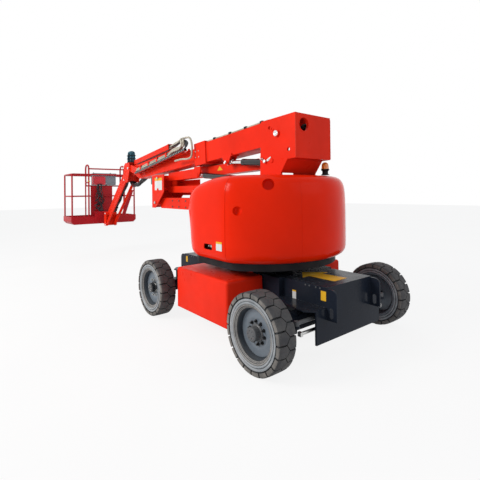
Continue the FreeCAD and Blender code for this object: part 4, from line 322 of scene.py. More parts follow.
class Geo:
    """Collects closed shapes into one mesh."""

    def __init__(self):
        self.bm = bmesh.new()

    def add(self, verts, faces):
        vs = [self.bm.verts.new(v) for v in verts]
        for f in faces:
            try:
                self.bm.faces.new([vs[i] for i in f])
            except ValueError:
                pass
        return vs

    def box(self, x0, x1, y0, y1, z0, z1):
        v = [(x, y, z) for z in (z0, z1) for y in (y0, y1) for x in (x0, x1)]
        self.add(v, [(0, 2, 3, 1), (4, 5, 7, 6), (0, 1, 5, 4), (2, 6, 7, 3), (0, 4, 6, 2), (1, 3, 7, 5)])

    def prism(self, pts, offset):
        """Closed outline of 3D points, pushed out by offset."""
        o = Vector(offset)
        n = len(pts)
        v = [Vector(p) for p in pts] + [Vector(p) + o for p in pts]
        f = [tuple(reversed(range(n))), tuple(range(n, 2 * n))]
        f += [(i, (i + 1) % n, n + (i + 1) % n, n + i) for i in range(n)]
        self.add(v, f)

    def xz(self, pts, y0, y1):
        self.prism([(x, y0, z) for x, z in pts], (0, y1 - y0, 0))

    def xy(self, pts, z0, z1):
        self.prism([(x, y, z0) for x, y in pts], (0, 0, z1 - z0))

    def yz(self, pts, x0, x1):
        self.prism([(x0, y, z) for y, z in pts], (x1 - x0, 0, 0))

    def cyl(self, a, b, r, n=24, r1=None):
        a, b = Vector(a), Vector(b)
        r1 = r if r1 is None else r1
        u, w, _ = basis(b - a)
        v = []
        for p, k in ((a, r), (b, r1)):
            v += [p + (u * math.cos(t) + w * math.sin(t)) * k for t in (2 * math.pi * i / n for i in range(n))]
        f = [tuple(reversed(range(n))), tuple(range(n, 2 * n))]
        f += [(i, (i + 1) % n, n + (i + 1) % n, n + i) for i in range(n)]
        self.add(v, f)

    def lathe(self, profile, centre, axis, n=48, closed=True):
        """Profile of (radius, offset) points turned about an axis through centre."""
        c = Vector(centre)
        u, w, d = basis(axis)
        m = len(profile)
        v = []
        for i in range(n):
            t = 2 * math.pi * i / n
            e = u * math.cos(t) + w * math.sin(t)
            v += [c + e * r + d * o for r, o in profile]
        f = []
        last = m if closed else m - 1
        for i in range(n):
            j = (i + 1) % n
            for k in range(last):
                k2 = (k + 1) % m
                f.append((i * m + k, j * m + k, j * m + k2, i * m + k2))
        self.add(v, f)

    def solid_lathe(self, profile, centre, axis, n=32):
        """As lathe, but the two ends lie on the axis."""
        c = Vector(centre)
        u, w, d = basis(axis)
        inner = profile[1:-1]
        m = len(inner)
        v = []
        for i in range(n):
            t = 2 * math.pi * i / n
            e = u * math.cos(t) + w * math.sin(t)
            v += [c + e * r + d * o for r, o in inner]
        v += [c + d * profile[0][1], c + d * profile[-1][1]]
        s, e2 = len(v) - 2, len(v) - 1
        f = []
        for i in range(n):
            j = (i + 1) % n
            f.append((s, j * m, i * m))
            f.append((e2, i * m + m - 1, j * m + m - 1))
            for k in range(m - 1):
                f.append((i * m + k, j * m + k, j * m + k + 1, i * m + k + 1))
        self.add(v, f)

    def tube(self, pts, r, n=12, wave=None):
        """Round tube along points; wave gives a radius factor by index."""
        pts = [Vector(p) for p in pts]
        m = len(pts)
        u = None
        v = []
        for i, p in enumerate(pts):
            d = (pts[min(i + 1, m - 1)] - pts[max(i - 1, 0)]).normalized()
            if u is None:
                u = basis(d)[0]
            u = (u - d * u.dot(d)).normalized()
            w = d.cross(u)
            k = r * (wave(i) if wave else 1)
            v += [p + (u * math.cos(t) + w * math.sin(t)) * k for t in (2 * math.pi * j / n for j in range(n))]
        f = [tuple(reversed(range(n))), tuple(range((m - 1) * n, m * n))]
        for i in range(m - 1):
            f += [(i * n + j, i * n + (j + 1) % n, (i + 1) * n + (j + 1) % n, (i + 1) * n + j) for j in range(n)]
        self.add(v, f)

    def bolt(self, p, d, r=0.012, h=0.008):
        p, d = Vector(p), Vector(d).normalized()
        self.cyl(p, p + d * h * 0.3, r * 1.25, 16)
        self.cyl(p + d * h * 0.25, p + d * h, r, 6)

    def ball(self, p, r, n=12):
        prof = [(r * math.sin(math.pi * i / n), -r * math.cos(math.pi * i / n)) for i in range(n + 1)]
        self.solid_lathe(prof, p, (0, 0, 1), n * 2)

    def mirror(self):
        """Adds a copy of everything, mirrored to the other side."""
        geom = self.bm.verts[:] + self.bm.edges[:] + self.bm.faces[:]
        ret = bmesh.ops.duplicate(self.bm, geom=geom)
        vs = [e for e in ret["geom"] if isinstance(e, bmesh.types.BMVert)]
        fs = [e for e in ret["geom"] if isinstance(e, bmesh.types.BMFace)]
        for v in vs:
            v.co.y = -v.co.y
        bmesh.ops.reverse_faces(self.bm, faces=fs)

    def obj(self, name, body, mat, bevel=0.0, seg=2, smooth=True, angle=30, stands_for=(), subd=0):
        bmesh.ops.recalc_face_normals(self.bm, faces=self.bm.faces[:])
        me = bpy.data.meshes.new(name)
        self.bm.to_mesh(me)
        self.bm.free()
        return place(me, name, body, mat, bevel, seg, smooth, angle, stands_for, subd)


def place(me, name, body, mat, bevel=0.0, seg=2, smooth=True, angle=30, stands_for=(), subd=0):
    me.transform(Matrix.Translation((-XM, 0, 0)))
    ob = bpy.data.objects.new(name, me)
    bpy.context.scene.collection.objects.link(ob)
    for m in mat if isinstance(mat, (list, tuple)) else [mat]:
        me.materials.append(M[m])
    if smooth:
        for p in me.polygons:
            p.use_smooth = True
        me.set_sharp_from_angle(angle=math.radians(angle))
    if bevel:
        b = ob.modifiers.new("bevel", "BEVEL")
        b.width = bevel
        b.segments = seg
        b.limit_method = "ANGLE"
        b.angle_limit = math.radians(35)
        b.harden_normals = True
    if subd:
        s = ob.modifiers.new("subd", "SUBSURF")
        s.levels = s.render_levels = subd
    if stands_for:
        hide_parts(*([stands_for] if isinstance(stands_for, str) else stands_for))
    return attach(ob, body) if body else ob


def spline(points, steps=8):
    """Smooth line through the points."""
    p = [Vector(q) for q in points]
    p = [p[0] * 2 - p[1]] + p + [p[-1] * 2 - p[-2]]
    out = []
    for i in range(1, len(p) - 2):
        for k in range(steps):
            t = k / steps
            a, b, c, d = p[i - 1], p[i], p[i + 1], p[i + 2]
            out.append(0.5 * ((2 * b) + (c - a) * t + (2 * a - 5 * b + 4 * c - d) * t * t + (3 * b - a - 3 * c + d) * t ** 3))
    out.append(p[-2])
    return out


def rounded_path(points, r, steps=6):
    """Straight runs with rounded corners."""
    p = [Vector(q) for q in points]
    out = [p[0]]
    for a, b, c in zip(p, p[1:], p[2:]):
        d0, d1 = (b - a).normalized(), (c - b).normalized()
        k = min(r, (b - a).length * 0.48, (c - b).length * 0.48)
        s, e = b - d0 * k, b + d1 * k
        for i in range(steps + 1):
            t = i / steps
            out.append(s * (1 - t) ** 2 + b * 2 * t * (1 - t) + e * t * t)
    out.append(p[-1])
    return out


def smooth_group():
    """Modifier group that shades faces smooth and keeps the edges over 30 degrees sharp."""
    ng = bpy.data.node_groups.new("smooth_by_angle", "GeometryNodeTree")
    ng.interface.new_socket("Geometry", in_out="INPUT", socket_type="NodeSocketGeometry")
    ng.interface.new_socket("Geometry", in_out="OUTPUT", socket_type="NodeSocketGeometry")
    first = ng.nodes.new("NodeGroupInput")
    last = ng.nodes.new("NodeGroupOutput")
    angle = ng.nodes.new("GeometryNodeInputMeshEdgeAngle")
    over = ng.nodes.new("FunctionNodeCompare")
    over.operation = "GREATER_THAN"
    over.inputs[1].default_value = math.radians(30)
    ng.links.new(angle.outputs[0], over.inputs[0])
    faces = ng.nodes.new("GeometryNodeSetShadeSmooth")
    edges = ng.nodes.new("GeometryNodeSetShadeSmooth")
    edges.domain = "EDGE"
    edges.inputs["Shade Smooth"].default_value = False
    ng.links.new(first.outputs[0], faces.inputs["Geometry"])
    ng.links.new(faces.outputs[0], edges.inputs["Geometry"])
    ng.links.new(over.outputs[0], edges.inputs["Selection"])
    ng.links.new(edges.outputs[0], last.inputs[0])
    return ng


SMOOTH = smooth_group()


def finish_cad(node, mat, bevel=0.003, seg=2):
    """Keeps a CAD node's shape, gives it a material and softens its edges."""
    ob = NODES[node]
    ob.data.materials.clear()
    ob.data.materials.append(M[mat])
    w = ob.modifiers.new("weld", "WELD")
    w.merge_threshold = 0.00005
    d = ob.modifiers.new("flat", "DECIMATE")
    d.decimate_type = "DISSOLVE"
    d.angle_limit = math.radians(1.0)
    s = ob.modifiers.new("smooth", "NODES")
    s.node_group = SMOOTH
    if bevel:
        b = ob.modifiers.new("bevel", "BEVEL")
        b.width = bevel
        b.segments = seg
        b.limit_method = "ANGLE"
        b.angle_limit = math.radians(40)
        b.use_clamp_overlap = True
    n = ob.modifiers.new("shade", "WEIGHTED_NORMAL")
    n.keep_sharp = True
    return ob


# Flat marks, pins and hoses
def side(a, b, distance, rise=0.0):
    """Point (x, z) at a distance from a towards b, with a rise over that line."""
    dx, dz = b[0] - a[0], b[1] - a[1]
    n = math.hypot(dx, dz)
    return (a[0] + (dx * distance - dz * rise) / n, a[1] + (dz * distance + dx * rise) / n)


def bar(g, a, b, start, end, down, up, y0, y1):
    """Block along the line a-b of the side view."""
    corners = [side(a, b, start, -down), side(a, b, end, -down), side(a, b, end, up), side(a, b, start, up)]
    g.xz(corners, y0, y1)


def sampled(points, step):
    """Evenly spaced points on a smooth line through the given ones."""
    line = spline(points, 24)
    out = [line[0]]
    left = step
    for a, b in zip(line, line[1:]):
        d = (b - a).length
        while d > 0 and left <= d:
            a = a.lerp(b, left / d)
            out.append(a)
            d = (b - a).length
            left = step
        left -= d
    return out


def ribbed(g, points, r, pitch=0.011, n=14):
    """Corrugated conduit: the radius falls between its ribs."""
    line = sampled(points, pitch / 4)
    g.tube(line, r, n, wave=lambda i: (1.0, 0.99, 0.90, 0.89)[i % 4])


def hose(g, points, r, n=12):
    g.tube(sampled(points, r * 1.1), r, n)


def pin_cap(g, p, side_sign, r):
    """Domed pin head with a centre mark, proud of a plate that faces sideways."""
    s = side_sign
    g.solid_lathe([(0, 0), (r, 0), (r, 0.010), (r * 0.93, 0.015), (r * 0.45, 0.017), (r * 0.30, 0.015), (r * 0.12, 0.0145),
                   (0, 0.0145)], p, (0, s, 0), 40)


def keeper(g, p, s, length, turn):
    """Slim locking plate with two hexagon bolts beside a pin."""
    d = Vector((math.cos(turn), 0, math.sin(turn)))
    w = Vector((-d.z, 0, d.x)) * 0.013
    q = Vector(p)
    g.prism([q - w, q + d * length - w, q + d * length + w, q + w], (0, 0.006 * s, 0))
    for k in (0.45, 0.82):
        b = q + d * length * k + Vector((0, 0.005 * s, 0))
        g.cyl(b, b + Vector((0, 0.008 * s, 0)), 0.0085, 6)


def plate_mark(name, body, mat, corners, lift):
    """Thin blank label: corners of its outline on a surface, raised by lift."""
    g = Geo()
    g.prism([Vector(c) - Vector(lift) * 0.3 for c in corners], Vector(lift) * 1.3)
    return g.obj(name, body, mat, bevel=0.0, smooth=False)


def rounded_outline(pts, r):
    loop = [Vector((*p, 0)) for p in pts]
    start = (loop[0] + loop[1]) / 2
    path = rounded_path([start] + loop[1:] + [loop[0], start], r, 6)
    return [(q.x, q.y) for q in path[:-1]]


# Wheels
R = 0.36
PITCHES = 20
AX = 1.024
WHEEL_Y = 0.965
WHEELS = [("front_left", AX, 1, False), ("front_right", AX, -1, False),
          ("rear_left", -AX, 1, True), ("rear_right", -AX, -1, True)]


def tyre(name, x, side):
    g = Geo()
    c = (x, WHEEL_Y * side, R)
    axis = (0, side, 0)
    wall = [(0.2365, 0.084), (0.2430, 0.0885), (0.2580, 0.0955), (0.2650, 0.1010), (0.2700, 0.1022), (0.2745, 0.1010),
            (0.2760, 0.0950), (0.2790, 0.0925), (0.2815, 0.0955), (0.2900, 0.0990), (0.2960, 0.0990), (0.3030, 0.0970),
            (0.3055, 0.0945), (0.3065, 0.0850), (0.3150, 0.0850), (0.3300, 0.0900), (0.3345, 0.0880)]
    profile = wall + [(0.3350, 0.0)] + [(r, -y) for r, y in reversed(wall)]
    g.lathe(profile, c, axis, 96)
    n_wall = len(g.bm.faces)
    pitch = 2 * math.pi / PITCHES
    amp = 0.021

    def zig(u):
        k = u / pitch
        k = k - math.floor(k)
        return amp * (4 * abs(k - 0.5) - 1)

    def point(u, y, r):
        a = u
        return (x + r * math.cos(a), WHEEL_Y * side + y, R + r * math.sin(a))

    # rows: (sign, angular shift of the cross grooves)
    cols = 6
    for sign, shift in ((1, 0.0), (-1, 0.5)):
        for b in range(PITCHES):
            u0 = (b + shift) * pitch
            gap = 0.011 / R
            verts, faces = [], []
            lines = []
            for i in range(cols + 1):
                s = i / cols
                u_in = u0 + gap * 0.45 + (pitch - gap * 0.9) * s
                u_out = u0 + gap * 0.75 + (pitch - gap * 1.5) * s
                slant = 0.16 * pitch
                y_in = sign * 0.0035 + zig(u_in)
                line = [(u_in + slant * 0.0, y_in, 0.3595)]
                for t in (0.35, 0.7):
                    y = y_in + (sign * 0.083 - y_in) * t
                    line.append((u_in + (u_out - u_in) * t, y, 0.3595 - 0.0008 * t))
                line.append((u_out, sign * 0.0880, 0.3575))
                line.append((u_out, sign * 0.0985, 0.3495))
                line.append((u_out, sign * 0.1035, 0.3380))
                line.append((u_out, sign * 0.1025, 0.3160))
                lines.append(line)
            m = len(lines[0])
            top = [point(*p) for line in lines for p in line]
            inner = []
            for line in lines:
                for (u, y, r) in line:
                    yy = max(-0.088, min(0.088, y))
                    inner.append(point(u, yy if r < 0.352 else y * 0.98, min(r, 0.331) - (0.004 if r < 0.33 else 0)))
            verts = top + inner
            k = len(top)
            for i in range(cols):
                for j in range(m - 1):
                    a, b2, c2, d = i * m + j, (i + 1) * m + j, (i + 1) * m + j + 1, i * m + j + 1
                    faces.append((a, b2, c2, d))
                    faces.append((k + a, k + d, k + c2, k + b2))
            for j in range(m - 1):
                for i, flip in ((0, False), (cols, True)):
                    a, d = i * m + j, i * m + j + 1
                    q = (a, d, k + d, k + a)
                    faces.append(q if not flip else tuple(reversed(q)))
            for i in range(cols):
                for j in (0, m - 1):
                    a, b2 = i * m + j, (i + 1) * m + j
                    faces.append((b2, a, k + a, k + b2))
            g.add(verts, faces)
    faces = g.bm.faces[:]
    for i, f in enumerate(faces):
        f.normal_update()
        mid = f.calc_center_median()
        out = math.hypot(mid.x - x, mid.z - R)
        # faces in the grooves of the wall take the darker groove rubber as painted shade
        groove = 0.2430 < out < 0.2580 or 0.2760 < out < 0.2815 or 0.3030 < out < 0.3350
        # the rest of the wall takes the lighter sidewall rubber as painted light; below, the lug tops take the darker
        # tread rubber as painted shade and the outward lug sides lighter rubber as painted light
        if i < n_wall:
            f.material_index = 3 if groove else 1
        else:
            f.material_index = 2 if abs(f.normal.y) > 0.8 and out > 0.305 and abs(mid.y - c[1]) > 0.09 else 0
    ob = g.obj("tyre_detail_" + name, "wheel_" + name, ["tread", "sidewall", "lug", "ring"], bevel=0.0022, seg=1, angle=38,
               stands_for="tyre_" + name)
    return ob


def rim(name, x, side, steered):
    g = Geo()
    c = (x, WHEEL_Y * side, R)
    axis = (0, side, 0)
    half = 0.086
    prof = [(0.2345, -half), (0.2345, half - 0.010), (0.2260, half - 0.014), (0.2200, half - 0.022), (0.2170, half - 0.040),
            (0.2110, half - 0.070), (0.2110, -half + 0.030), (0.2300, -half + 0.012), (0.2430, -half - 0.004),
            (0.2480, -half - 0.010), (0.2560, -half - 0.006), (0.2560, -half)]
    g.lathe(prof, c, axis, 96)
    disc = half - 0.062
    g.lathe([(0.2150, disc - 0.002), (0.2150, disc - 0.014), (0.040, disc - 0.014), (0.040, disc), (0.118, disc),
             (0.126, disc + 0.004), (0.150, disc + 0.004), (0.176, disc - 0.004), (0.2020, disc + 0.002)], c, axis, 96)
    for f in g.bm.faces:
        mid = f.calc_center_median()
        out = math.hypot(mid.x - x, mid.z - R)
        # faces in the well of the rim take the darker rim paint as painted shade
        f.material_index = 1 if 0.2045 < out < 0.2250 else 0
    ob = g.obj("rim_detail_" + name, "wheel_" + name, ["rim", "rim_painted_shade"], bevel=0.0012, seg=1, angle=35, stands_for="rim_" + name)
    lip = Geo()
    lip.lathe([(0.2348, half - 0.011), (0.2348, half), (0.2560, half), (0.2560, half + 0.006), (0.2535, half + 0.010), (0.2480, half + 0.010),
               (0.2430, half + 0.006), (0.2385, half + 0.001), (0.2330, half - 0.003), (0.2290, half - 0.004), (0.2240, half - 0.008),
               (0.2200, half - 0.016), (0.2192, half - 0.023), (0.2260, half - 0.0145)], c, axis, 96)
    for f in lip.bm.faces:
        mid = f.calc_center_median()
        out = math.hypot(mid.x - x, mid.z - R)
        # grooves of the lip take the darker groove rubber as painted shade
        f.material_index = 1 if 0.2385 < out < 0.2430 or 0.2290 < out < 0.2330 or out < 0.2235 else 0
    lip.obj("rim_lip_" + name, "wheel_" + name, ["bead", "ring"], bevel=0.0008, seg=1, angle=35)
    h = Geo()
    top = half + (0.018 if steered else 0.004)
    h.solid_lathe([(0, disc - 0.070), (0.060, disc - 0.070), (0.060, disc - 0.012), (0.078, disc - 0.010), (0.078, disc + 0.008),
                   (0.066, disc + 0.012), (0.062, disc + 0.016), (0.062, top - 0.010), (0.058, top - 0.004), (0.050, top - 0.003),
                   (0.048, top), (0, top)], c, axis, 48)
    h.obj("hub_detail_" + name, "wheel_" + name, "mid_grey" if steered else "black", bevel=0.001, seg=1)
    n = Geo()
    count = 10 if steered else 8
    rad = 0.098 if steered else 0.104
    for i in range(count):
        t = 2 * math.pi * (i + 0.3) / count
        p = Vector((x + rad * math.cos(t), WHEEL_Y * side + side * (disc - 0.001), R + rad * math.sin(t)))
        n.cyl(p, p + Vector((0, side * 0.004, 0)), 0.017, 20)
        n.cyl(p, p + Vector((0, side * 0.018, 0)), 0.0125, 6)
        n.cyl(p, p + Vector((0, side * 0.028, 0)), 0.0075, 12)
    for i in range(6):
        t = 2 * math.pi * (i + 0.1) / 6
        p = Vector((x + 0.034 * math.cos(t), WHEEL_Y * side + side * (top - 0.001), R + 0.034 * math.sin(t)))
        n.cyl(p, p + Vector((0, side * 0.002, 0)), 0.0055, 6)
    n.obj("wheel_nuts_" + name, "wheel_" + name, "black" if steered else "steel")
    return ob


for wheel_name, wheel_x, wheel_side, is_steered in WHEELS:
    tyre(wheel_name, wheel_x, wheel_side)
    rim(wheel_name, wheel_x, wheel_side, is_steered)


# Hoods
def hood_plan():
    """Points and outward directions round the hood, seen from above, starting at the middle of the front."""
    w, r, fx = 0.92, 1.03, 0.63
    tail = -math.sqrt(r * r - w * w)
    side = rounded_path([(fx, 0, 0), (fx, 0.56, 0), (0.505, 0.775, 0), (0.25, w, 0), (tail, w, 0)], 0.16, 10)[:-1]
    a0 = math.atan2(w, tail)
    blend = [Vector((tail + 0.06, w, 0)), Vector((tail, w, 0)), Vector((r * math.cos(a0 + 0.06), r * math.sin(a0 + 0.06), 0))]
    bend = [blend[0] * (1 - t) ** 2 + blend[1] * 2 * t * (1 - t) + blend[2] * t * t for t in (0, 0.25, 0.5, 0.75)]
    arc = [Vector((r * math.cos(a), r * math.sin(a), 0)) for a in (a0 + 0.06 + (math.pi - a0 - 0.06) * i / 30 for i in range(31))]
    half = side + bend + arc
    # even spacing
    length = [0.0]
    for a, b in zip(half, half[1:]):
        length.append(length[-1] + (b - a).length)
    n = 84
    even = []
    j = 0
    for i in range(n + 1):
        s = length[-1] * i / n
        while j < len(length) - 2 and length[j + 1] < s:
            j += 1
        t = (s - length[j]) / max(1e-9, length[j + 1] - length[j])
        even.append(half[j].lerp(half[j + 1], min(1, max(0, t))))
    for _ in range(3):
        even = [even[0]] + [(a + b * 2 + c) / 4 for a, b, c in zip(even, even[1:], even[2:])] + [even[-1]]
    full = even + [Vector((p.x, -p.y, 0)) for p in reversed(even[1:-1])]
    m = len(full)
    out = []
    for i in range(m):
        d = (full[(i + 1) % m] - full[i - 1]).normalized()
        out.append((full[i], Vector((d.y, -d.x, 0))))
    return out


HOOD_PROFILE = [(0.150, 0.8630), (0.104, 0.8635), (0.078, 0.8670), (0.054, 0.8760), (0.034, 0.8900), (0.019, 0.9080), (0.009, 0.9300),
                (0.003, 0.9600), (0.001, 1.000), (0.0, 1.060), (0.0, 1.140), (0.0, 1.230), (0.0, 1.330), (0.001, 1.420), (0.002, 1.500),
                (0.005, 1.570), (0.010, 1.620), (0.018, 1.662), (0.030, 1.698), (0.048, 1.728), (0.072, 1.750), (0.102, 1.765), (0.140, 1.774)]
HOOD_ROOF = [(0.10, 1.779), (0.28, 1.781), (0.5, 1.783), (0.75, 1.784), (1.0, 1.784)]


def roof_height(x):
    line = [(-0.30, 1.78), (-0.12, 1.768), (0.08, 1.730), (0.28, 1.675), (0.46, 1.585), (0.63, 1.475)]
    if x <= line[0][0]:
        return line[0][1]
    for a, b in zip(line, line[1:]):
        if x <= b[0]:
            t = (x - a[0]) / (b[0] - a[0])
            return a[1] + (b[1] - a[1]) * t
    return line[-1][1]


def hood_point(p, n, inset, z, skin=0.0):
    lean = max(0.0, n.x) * max(0.0, 1.47 - z) / 0.54 * 0.075
    q = p - n * (inset + lean + skin)
    z -= skin * max(0.0, (z - 1.6) / 0.18)
    if z > 1.25:
        q.z = 1.25 + (z - 1.25) * (roof_height(q.x) - 1.25) / 0.53
    else:
        q.z = z
    return q


def hood_surface(skin=0.0):
    plan = hood_plan()
    rows = [[hood_point(p, n, d, z, skin) for p, n in plan] for d, z in HOOD_PROFILE]
    ring = rows[-1]
    d_last, z_last = HOOD_PROFILE[-1]
    for t, z in HOOD_ROOF:
        row = []
        for (p, n) in plan:
            q = p - n * d_last
            spine = Vector((min(0.15, max(-0.35, q.x)), 0, 0))
            s = q.lerp(spine, t)
            s.z = 1.25 + (z - skin - 1.25) * (roof_height(s.x) - 1.25) / 0.53
            row.append(s)
        rows.append(row)
    m = len(plan)
    verts = [v for row in rows for v in row]
    faces = []
    for k in range(len(rows) - 1):
        for i in range(m):
            j = (i + 1) % m
            faces.append((k * m + i, k * m + j, (k + 1) * m + j, (k + 1) * m + i))
    return verts, faces


def applied(ob):
    """The object's mesh with its modifiers worked in."""
    dg = bpy.context.evaluated_depsgraph_get()
    dg.update()
    me = bpy.data.meshes.new_from_object(ob.evaluated_get(dg))
    ob.modifiers.clear()
    old = ob.data
    ob.data = me
    me.name = old.name + "_cut"
    return ob


def hood_part(name, body, node, keep, cutters=(), thick=0.012, edge=0.003):
    """The part of the hood inside keep, a list of (point, direction) planes, as a closed shell."""
    verts, faces = hood_surface()
    me = bpy.data.meshes.new(name)
    me.from_pydata([tuple(v) for v in verts], [], faces)
    bm = bmesh.new()
    bm.from_mesh(me)
    bmesh.ops.remove_doubles(bm, verts=bm.verts[:], dist=0.0005)
    for co, no in keep:
        geom = bm.verts[:] + bm.edges[:] + bm.faces[:]
        bmesh.ops.bisect_plane(bm, geom=geom, plane_co=co, plane_no=no, clear_outer=True, dist=1e-5)
    bmesh.ops.recalc_face_normals(bm, faces=bm.faces[:])
    middle = [f for f in bm.faces if f.calc_center_median().z > 1.0]
    up = sum(f.normal.dot(f.calc_center_median() - Vector((-0.2, 0, 1.2))) for f in middle)
    if up < 0:
        bmesh.ops.reverse_faces(bm, faces=bm.faces[:])
    bm.to_mesh(me)
    bm.free()
    ob = place(me, name, body, "hood", smooth=True, angle=40, stands_for=node)
    s = ob.modifiers.new("wall", "SOLIDIFY")
    s.thickness = thick
    s.offset = -1
    for k, c in enumerate(cutters):
        b = ob.modifiers.new("cut%d" % k, "BOOLEAN")
        b.operation = "DIFFERENCE"
        b.solver = "EXACT"
        b.object = c
    if cutters:
        bpy.context.view_layer.update()
        applied(ob)
    ob.data.set_sharp_from_angle(angle=math.radians(35))
    b = ob.modifiers.new("bevel", "BEVEL")
    b.width = edge
    b.segments = 2
    b.limit_method = "ANGLE"
    b.angle_limit = math.radians(50)
    return ob


def hood_inside(skin):
    """Closed lump that fills the hood under its skin, for boolean cuts only."""
    verts, faces = hood_surface(skin)
    bm = bmesh.new()
    vs = [bm.verts.new(v) for v in verts]
    for f in faces:
        bm.faces.new([vs[i] for i in f])
    m = len(hood_plan())
    bm.faces.new([vs[i] for i in range(m)])
    bmesh.ops.remove_doubles(bm, verts=bm.verts[:], dist=0.0005)
    bmesh.ops.recalc_face_normals(bm, faces=bm.faces[:])
    me = bpy.data.meshes.new("inside")
    bm.to_mesh(me)
    bm.free()
    me.transform(Matrix.Translation((-XM, 0, 0)))
    ob = bpy.data.objects.new("cutter_inside", me)
    bpy.context.scene.collection.objects.link(ob)
    return ob


def cutter(geo):
    """A closed shape for boolean cuts only."""
    bmesh.ops.recalc_face_normals(geo.bm, faces=geo.bm.faces[:])
    me = bpy.data.meshes.new("cutter")
    geo.bm.to_mesh(me)
    geo.bm.free()
    me.transform(Matrix.Translation((-XM, 0, 0)))
    ob = bpy.data.objects.new("cutter", me)
    bpy.context.scene.collection.objects.link(ob)
    return ob


def hoods():
    gap = 0.002
    inside = hood_inside(0.0105)
    seam = -0.45
    planes = {
        "door": [((seam + gap, 0, 0), (-1, 0, 0)), ((0, 0.30, 0), (0, -1, 0))],
        "side": [((seam - gap, 0, 0), (1, 0, 0)), ((0, 0.3306, 0), (0, -1, 0))],
    }
    for s, word in ((1, "left"), (-1, "right")):
        flip = [((c[0], c[1] * s, c[2]), (n[0], n[1] * s, n[2])) for c, n in planes["door"]]
        latch = Geo()
        lx, lz = -0.145, 1.012
        outline = rounded_path([(lx - 0.078, 0, lz - 0.030), (lx + 0.078, 0, lz - 0.030), (lx + 0.078, 0, lz + 0.030),
                                (lx - 0.078, 0, lz + 0.030), (lx - 0.078, 0, lz - 0.030)], 0.02, 5)[:-1]
        latch.prism([(p.x, 0.80 * s, p.z) for p in outline], (0, 0.3 * s, 0))
        c0 = cutter(latch)
        hood_part("door_skin_" + word, "door_" + word, "door_" + word, flip, [c0])
        # round recesses of the rear hood
        a = Geo()
        d1 = Vector((-0.20, s, 0)).normalized()
        p1 = Vector((-0.586, 0.90 * s, 1.41))
        a.cyl(p1 - d1 * 0.12, p1 + d1 * 0.15, 0.046, 40)
        c1 = cutter(a)
        b = Geo()
        p2 = Vector((-0.770, 0.60 * s, 1.672))
        d2 = Vector((-0.72, 0.69 * s, 0.12)).normalized()
        b.cyl(p2 - d2 * 0.08, p2 + d2 * 0.30, 0.060, 40)
        c2 = cutter(b)
        flip = [((c[0], c[1] * s, c[2]), (n[0], n[1] * s, n[2])) for c, n in planes["side"]]
        hood_part("rear_skin_" + word, "turret", "hood_rear_" + word, flip, [c1, c2], edge=0.0012)
        cup = Geo()
        for p, d, r, depth in ((p1, d1, 0.046, 0.085), (p2, d2, 0.060, 0.060)):
            q = p - d * depth
            cup.solid_lathe([(0, 0.0), (r - 0.012, 0.0), (r, 0.012), (r, 0.30), (r + 0.004, 0.30), (r + 0.004, -0.004), (0, -0.004)], q, d, 40)
        cups = cup.obj("hood_cups_" + word, "turret", "hood", angle=35)
        trim = cups.modifiers.new("trim", "BOOLEAN")
        trim.operation = "INTERSECT"
        trim.solver = "EXACT"
        trim.object = inside
        bpy.context.view_layer.update()
        applied(cups)
        # latch: floor of the recess and its silver paddle
        lt = Geo()
        lt.box(lx - 0.084, lx + 0.084, (0.852 if s > 0 else -0.858), (0.858 if s > 0 else -0.852), lz - 0.036, lz + 0.036)
        lt.obj("latch_pan_" + word, "door_" + word, "black", bevel=0.002)
        h = Geo()
        y0, y1 = sorted((0.858 * s, 0.874 * s))
        h.box(lx - 0.060, lx + 0.024, y0, y1, lz - 0.014, lz + 0.014)
        h.cyl((lx + 0.046, 0.856 * s, lz), (lx + 0.046, 0.880 * s, lz), 0.014, 20)
        h.obj("latch_paddle_" + word, "door_" + word, "steel", bevel=0.003)
        label = [(-0.405, 0.9195 * s, 0.990), (-0.302, 0.9195 * s, 0.990), (-0.302, 0.9195 * s, 1.062), (-0.405, 0.9195 * s, 1.062)]
        strip = [(-0.405, 0.9195 * s, 1.063), (-0.302, 0.9195 * s, 1.063), (-0.302, 0.9195 * s, 1.083), (-0.405, 0.9195 * s, 1.083)]
        plate_mark("door_label_" + word, "door_" + word, "white", label, (0, 0.0013 * s, 0))
        plate_mark("door_label_top_" + word, "door_" + word, "yellow", strip, (0, 0.0013 * s, 0))
        for o in (c0, c1, c2):
            bpy.data.objects.remove(o)
    hood_part("rear_skin_centre", "turret", "hood_rear_centre",
              [((seam - gap, 0, 0), (1, 0, 0)), ((0, 0.3294, 0), (0, 1, 0)), ((0, -0.3294, 0), (0, -1, 0))],
              [slot_cutter()], edge=0.0012)


def slot_cutter():
    g = Geo()
    g.box(-0.72, 0.8, -0.30, 0.30, 1.2, 2.0)
    return cutter(g)


hoods()
for o in [o for o in bpy.data.objects if o.name.startswith("cutter")]:
    bpy.data.objects.remove(o)


